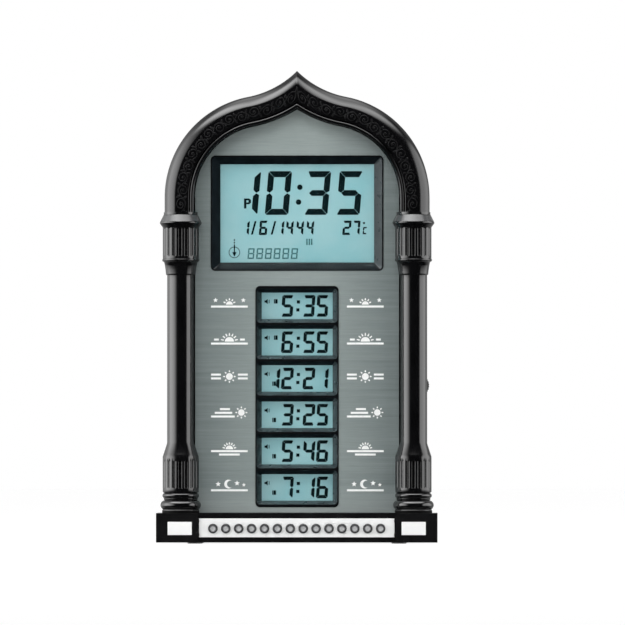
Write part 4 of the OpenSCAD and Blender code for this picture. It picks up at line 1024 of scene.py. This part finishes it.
def crescent(cx, cz, r):
    """A moon whose inner circle meets the outer one at 48 degrees, seen from the outer centre."""
    return arc(cx, cz, r, 48, 312, 30) + arc(cx + r * 0.42, cz, r * 0.78, 288.5, 71.5, 30)


def star(cx, cz, r):
    points = []
    for k in range(10):
        reach, a = (r, r * 0.45)[k % 2], math.radians(90 + 36 * k)
        points.append((cx + reach * math.cos(a), cz + reach * math.sin(a)))
    return points


def pictogram(row, cx, cz):
    """The part of the day that a small display belongs to, as sun or moon over a horizon."""
    low = cz - 2.7
    left, right = cx - PRINT_HW, cx + PRINT_HW
    if row == 0:
        shapes = [bar(left, right, low), star(left + 3, cz + 1.6, 1.7), star(right - 3, cz + 1.6, 1.7)]
        return shapes + half_sun(cx, low + 1.3, 2.3, WIDE_RAYS)
    if row == 1:
        shapes = [bar(left, right, low), bar(left + 2, cx - 7.2, cz), bar(cx + 7.2, right - 2, cz)]
        return shapes + half_sun(cx, low + 1.3, 3.1, NARROW_RAYS)
    if row == 2:
        shapes = []
        for z in (cz + 1.3, cz - 1.3):
            shapes += [bar(left, cx - 5.8, z), bar(cx + 5.8, right, z)]
        return shapes + full_sun(cx, cz, 2.3)
    if row == 3:
        shapes = [bar(left, right - 8.8, low), bar(left + 2.5, right - 10.5, cz - 0.2)]
        return shapes + [bar(left + 6, right - 12, cz + 2.3)] + full_sun(right - 4.3, cz, 2.2)
    if row == 4:
        shapes = [bar(left, right, low + 1.6), bar(cx - 7, cx + 7, low - 0.7)]
        return shapes + half_sun(cx, low + 2.9, 2.5, NARROW_RAYS)
    shapes = [bar(left, right, low - 0.2), crescent(cx - 0.5, cz + 1.3, 3.0)]
    return shapes + [star(cx + 5.2, cz + 1.9, 1.9), star(cx - 7.6, cz + 1.3, 1.9),
                     star(cx + 9.8, cz + 0.8, 1.4)]


printed = []
for row, row_px in enumerate(PRINT_ROWS_PX):
    for column_px in PRINT_COLUMNS_PX:
        printed += pictogram(row, px_x(column_px), px_z(row_px))
ink("face_print", printed, PRINT, PRINT_Y, "plate_white")


# ---- keys
KEY_FRONT, KEY_Z, KEY_PITCH, KEY_TALL = -23.4, 10.2, 8.71, 4.2
KEY_STEPS = 32
DISH_R, STEP_R = 1.5, 2.3
# Radius and place behind the flange's back face, from the stem to the middle of the dish
KEY_LINE = [(0.01, 3.2), (1.55, 3.2), (1.7, 3.05), (1.7, 0), (3.55, 0), (3.6, -0.05), (3.6, -0.95),
            (3.55, -1.0), (2.95, -1.0), (2.95, -3.7), (2.9, -3.95), (2.76, -4.12), (2.5, -4.2),
            (2.2, -4.17), (1.95, -4.04), (1.6, -3.86), (1.1, -3.7), (0.5, -3.62), (0.01, -3.6)]


def turned(line, steps, place):
    """Loops of a turned piece; place puts a point at (d along, p and q across) its axis."""
    angles = [2 * math.pi * k / steps for k in range(steps)]
    return [[place(d, r * math.cos(a), r * math.sin(a)) for a in angles] for r, d in line]


def key_cap(i):
    key_x = (i - 7.5) * KEY_PITCH
    loops = turned(KEY_LINE, KEY_STEPS, lambda d, p, q: (key_x + p, KEY_FRONT + KEY_TALL + d, KEY_Z + q))
    cap = new_piece(f"cap_{i}", mesh_of(*loft(loops), f"cap_{i}"), "key_black", f"key_{i}",
                    body=f"key_{i}", mats=[MATS["key_black"], KEY_DISH_PAINTED_HIGHLIGHT, KEY_STEP_PAINTED_HIGHLIGHT])
    for poly in cap.data.polygons:
        c = poly.center / MM
        radius = math.hypot(c.x - key_x, c.z - KEY_Z)
        # the dish and its step: painted highlight
        if c.y < KEY_FRONT + 1 and radius < STEP_R:
            poly.material_index = 1 if radius < DISH_R else 2


for i in range(1, 15):
    key_cap(i)


# ---- screws
HEAD_R, HEAD_TALL, CROSS_DEPTH = 2.7, 1.4, 1.0
BACK_Y, UNDER_Z = 24.0, 0.8
UNDER_X, UNDER_Y = (-84, 84), (-13, 15)
BACK_SCREWS = ((76, 36), (76, 128), (76, 222), (40, 281))


def screw_face():
    """Loops of a cross-head from its rim to the recess floor, as (p, q, height) about its middle."""
    arm_w, arm_l = HEAD_R * 0.17, HEAD_R * 0.62
    corner = math.degrees(math.atan2(arm_w, arm_l))
    between = (corner + 45) / 2
    quarter = (-corner, -corner / 3, corner / 3, corner, between, 45, 90 - between)
    angles = [90 * q + t for q in range(4) for t in quarter]

    def cross(deg):
        """Distance from the middle to the cross's edge."""
        t = abs((deg + 45) % 90 - 45)
        if t <= corner + 1e-6:
            return arm_l / math.cos(math.radians(t))
        return arm_w / math.sin(math.radians(t))

    def loop(height, share, reach=lambda deg: HEAD_R):
        """Points at one height, at a share of a reach that may change with the angle."""
        points = []
        for deg in angles:
            r, a = share * reach(deg), math.radians(deg)
            points.append((r * math.cos(a), r * math.sin(a), height))
        return points

    return [loop(-HEAD_TALL, 1), loop(-0.25, 1), loop(-0.08, 0.97), loop(0, 0.9), loop(0, 1, cross),
            loop(-CROSS_DEPTH, 0.62, cross)]


def screw(place):
    return loft([[place(p, q, h) for p, q, h in loop] for loop in screw_face()])


screws = [screw(lambda p, q, h: (side * x + p, BACK_Y + h, z + q))
          for x, z in BACK_SCREWS for side in (-1, 1)]
screws += [screw(lambda p, q, h: (x + p, y + q, UNDER_Z - h)) for x in UNDER_X for y in UNDER_Y]
new_piece("screw_heads", mesh_of(*join(screws), "screw_heads"), "screw_steel", sharp=30)


# ---- cells
CELL_Z, CELL_PITCH, CELL_STEPS = 66, 15.2, 48
WRAP_R, COPPER_END = 6.3, -17.1
# Radius and place along the cell, which is 0 at its tip
CELL_LINE = [(0.01, -50.5), (4.2, -50.5), (4.6, -50.3), (5.4, -50.3), (5.7, -50.45), (6.6, -50.45),
             (7.0, -50.2), (7.15, -49.9), (7.2, -49.6), (7.2, -17.2), (7.2, -16.8), (7.2, -2.4),
             (7.1, -1.9), (6.7, -1.5), (6.1, -1.35), (5.4, -1.45), (3.1, -1.45), (2.85, -1.35),
             (2.75, -1.2), (2.75, -0.25), (2.6, -0.08), (2.35, 0), (0.01, 0)]


def cell(i):
    """An AA cell that points the other way than its neighbour, with a copper end."""
    low, high = (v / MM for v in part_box("batteries"))
    mid_y, z, tip = (low.y + high.y) / 2, CELL_Z + (i - 2) * CELL_PITCH, high.x
    way = 1 if i % 2 == 1 else -1
    loops = turned(CELL_LINE, CELL_STEPS, lambda d, p, q: (way * (tip + d), mid_y + p, z + q))
    mesh = mesh_of(*loft(loops), f"cell_{i}")
    obj = new_piece(f"cell_{i}", mesh, "cell_wrap", mats=[MATS["cell_wrap"], COPPER, MATS["spring_steel"]])
    for poly in mesh.polygons:
        c = poly.center / MM
        if math.hypot(c.y - mid_y, c.z - z) < WRAP_R:
            poly.material_index = 2
        elif way * c.x - tip > COPPER_END:
            poly.material_index = 1
    return obj


cells = [cell(i) for i in (1, 2, 3)]
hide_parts("batteries")


# ---- lamps and sky
LAMP_AIM = (0, 0, 160)
AMBIENT = 0.36  # what matt surfaces get from the world
SKY_LEFT, SKY_RIGHT, SKY_FRONT, SKY_TOP, SKY_BACK, SKY_LEAST = 6.5, 4.0, 10.0, 3.0, 0.5, 0.006


def lamp(name, pos, width, height, radiance):
    light = bpy.data.lights.new(name, "AREA")
    light.shape = "RECTANGLE"
    light.size = width * MM
    light.size_y = height * MM
    light.energy = radiance * math.pi * light.size * light.size_y
    obj = bpy.data.objects.new(name, light)
    scene.collection.objects.link(obj)
    look_at(obj, pos, LAMP_AIM)
    obj.visible_glossy = False  # gloss mirrors the world's soft boxes instead


lamp("soft_left", (-1250, -520, 420), 900, 1500, 3.6)
lamp("soft_right", (1250, -520, 300), 800, 1300, 2.6)
lamp("soft_top", (-200, -900, 1350), 1300, 700, 3.3)

world = bpy.data.worlds.new("world")
scene.world = world
world.use_nodes = True
world.node_tree.nodes.clear()
sky = Nodes(world.node_tree)
toward = sky.add("SeparateXYZ")
sky.link(sky.add("TexCoord").outputs["Generated"], toward.inputs["Vector"])
path = sky.add("LightPath")


def glow(axis, low, high, radiance):
    """Radiance that rises from none to all of it between two values along one axis of the sky."""
    return sky.ramp(toward.outputs[axis], low, high, 0, radiance, interpolation_type="SMOOTHSTEP")


def dim(axis, low, high, share):
    """A factor that falls from 1 by share between two values along one axis."""
    return sky.math("SUBTRACT", 1, glow(axis, low, high, share))


def total(first, *others):
    for other in others:
        first = sky.math("ADD", first, other)
    return first


def product(first, *others):
    for other in others:
        first = sky.math("MULTIPLY", first, other)
    return first


def background(strength):
    node = sky.add("Background")
    sky.feed(node.inputs["Color"], (1, 1, 1))
    sky.feed(node.inputs["Strength"], strength)
    return node.outputs[0]


left = product(glow("X", -0.45, -1.0, SKY_LEFT), dim("Y", 0.0, 0.5, 0.7))
right = product(glow("X", 0.76, 0.86, SKY_RIGHT), dim("Y", 0.1, 0.6, 0.6))
sides = product(total(left, right), dim("Z", 0.3, 0.8, 0.4), glow("Z", -0.3, -0.02, 1))
over = product(glow("Z", 0.62, 0.8, SKY_FRONT), glow("Y", 0.12, -0.2, 1),
               dim("X", -0.4, 0.35, 0.35), dim("Z", 0.86, 1.0, 0.8))
mirrored = total(sides, over, glow("Z", 0.75, 0.97, SKY_TOP), glow("Y", 0.0, 0.5, SKY_BACK), SKY_LEAST)
lighting = sky.either(path.outputs["Is Glossy Ray"], background(AMBIENT), background(mirrored))
seen = sky.math("MAXIMUM", path.outputs["Is Camera Ray"], path.outputs["Is Transmission Ray"])
output = sky.add("OutputWorld")
sky.link(sky.either(seen, lighting, background(1.0)), output.inputs["Surface"])


# ---- floor
FLOOR_HALF = 8  # metres
FLOOR_SINK = 0.0001  # metres under the clock's feet
FLOOR_GLOW, FLOOR_LIT = 1.2, 0.7


def floor_material():
    """Pale floor, lightened for the camera towards the white background and unseen by gloss."""
    skin = Maker("floor")
    path = skin.add("LightPath")
    tone = skin.ramp(skin.noise(900, 2), 0.3, 0.7)
    skin.set(Base_Color=skin.mix(tone, (0.85, 0.85, 0.85), (0.88, 0.88, 0.88)), Roughness=0.8)
    lit = skin.add("Emission")
    lit.inputs["Strength"].default_value = FLOOR_GLOW
    share = skin.math("MULTIPLY", path.outputs["Is Camera Ray"], FLOOR_LIT)
    plain = skin.either(share, skin.bsdf.outputs[0], lit.outputs[0])
    nothing = skin.add("BsdfTransparent").outputs[0]
    surface = skin.either(path.outputs["Is Glossy Ray"], plain, nothing)
    skin.link(surface, skin.tree.nodes["Material Output"].inputs["Surface"])
    return skin.mat


floor_mesh = bpy.data.meshes.new("floor")
floor_mesh.from_pydata([(x, y, 0) for x, y in rect(-FLOOR_HALF, FLOOR_HALF, -FLOOR_HALF, FLOOR_HALF)],
                       [], [(0, 1, 2, 3)])
floor_mesh.materials.append(floor_material())
floor = bpy.data.objects.new("floor", floor_mesh)
scene.collection.objects.link(floor)
floor.location.z = cad_box[0][2] - FLOOR_SINK
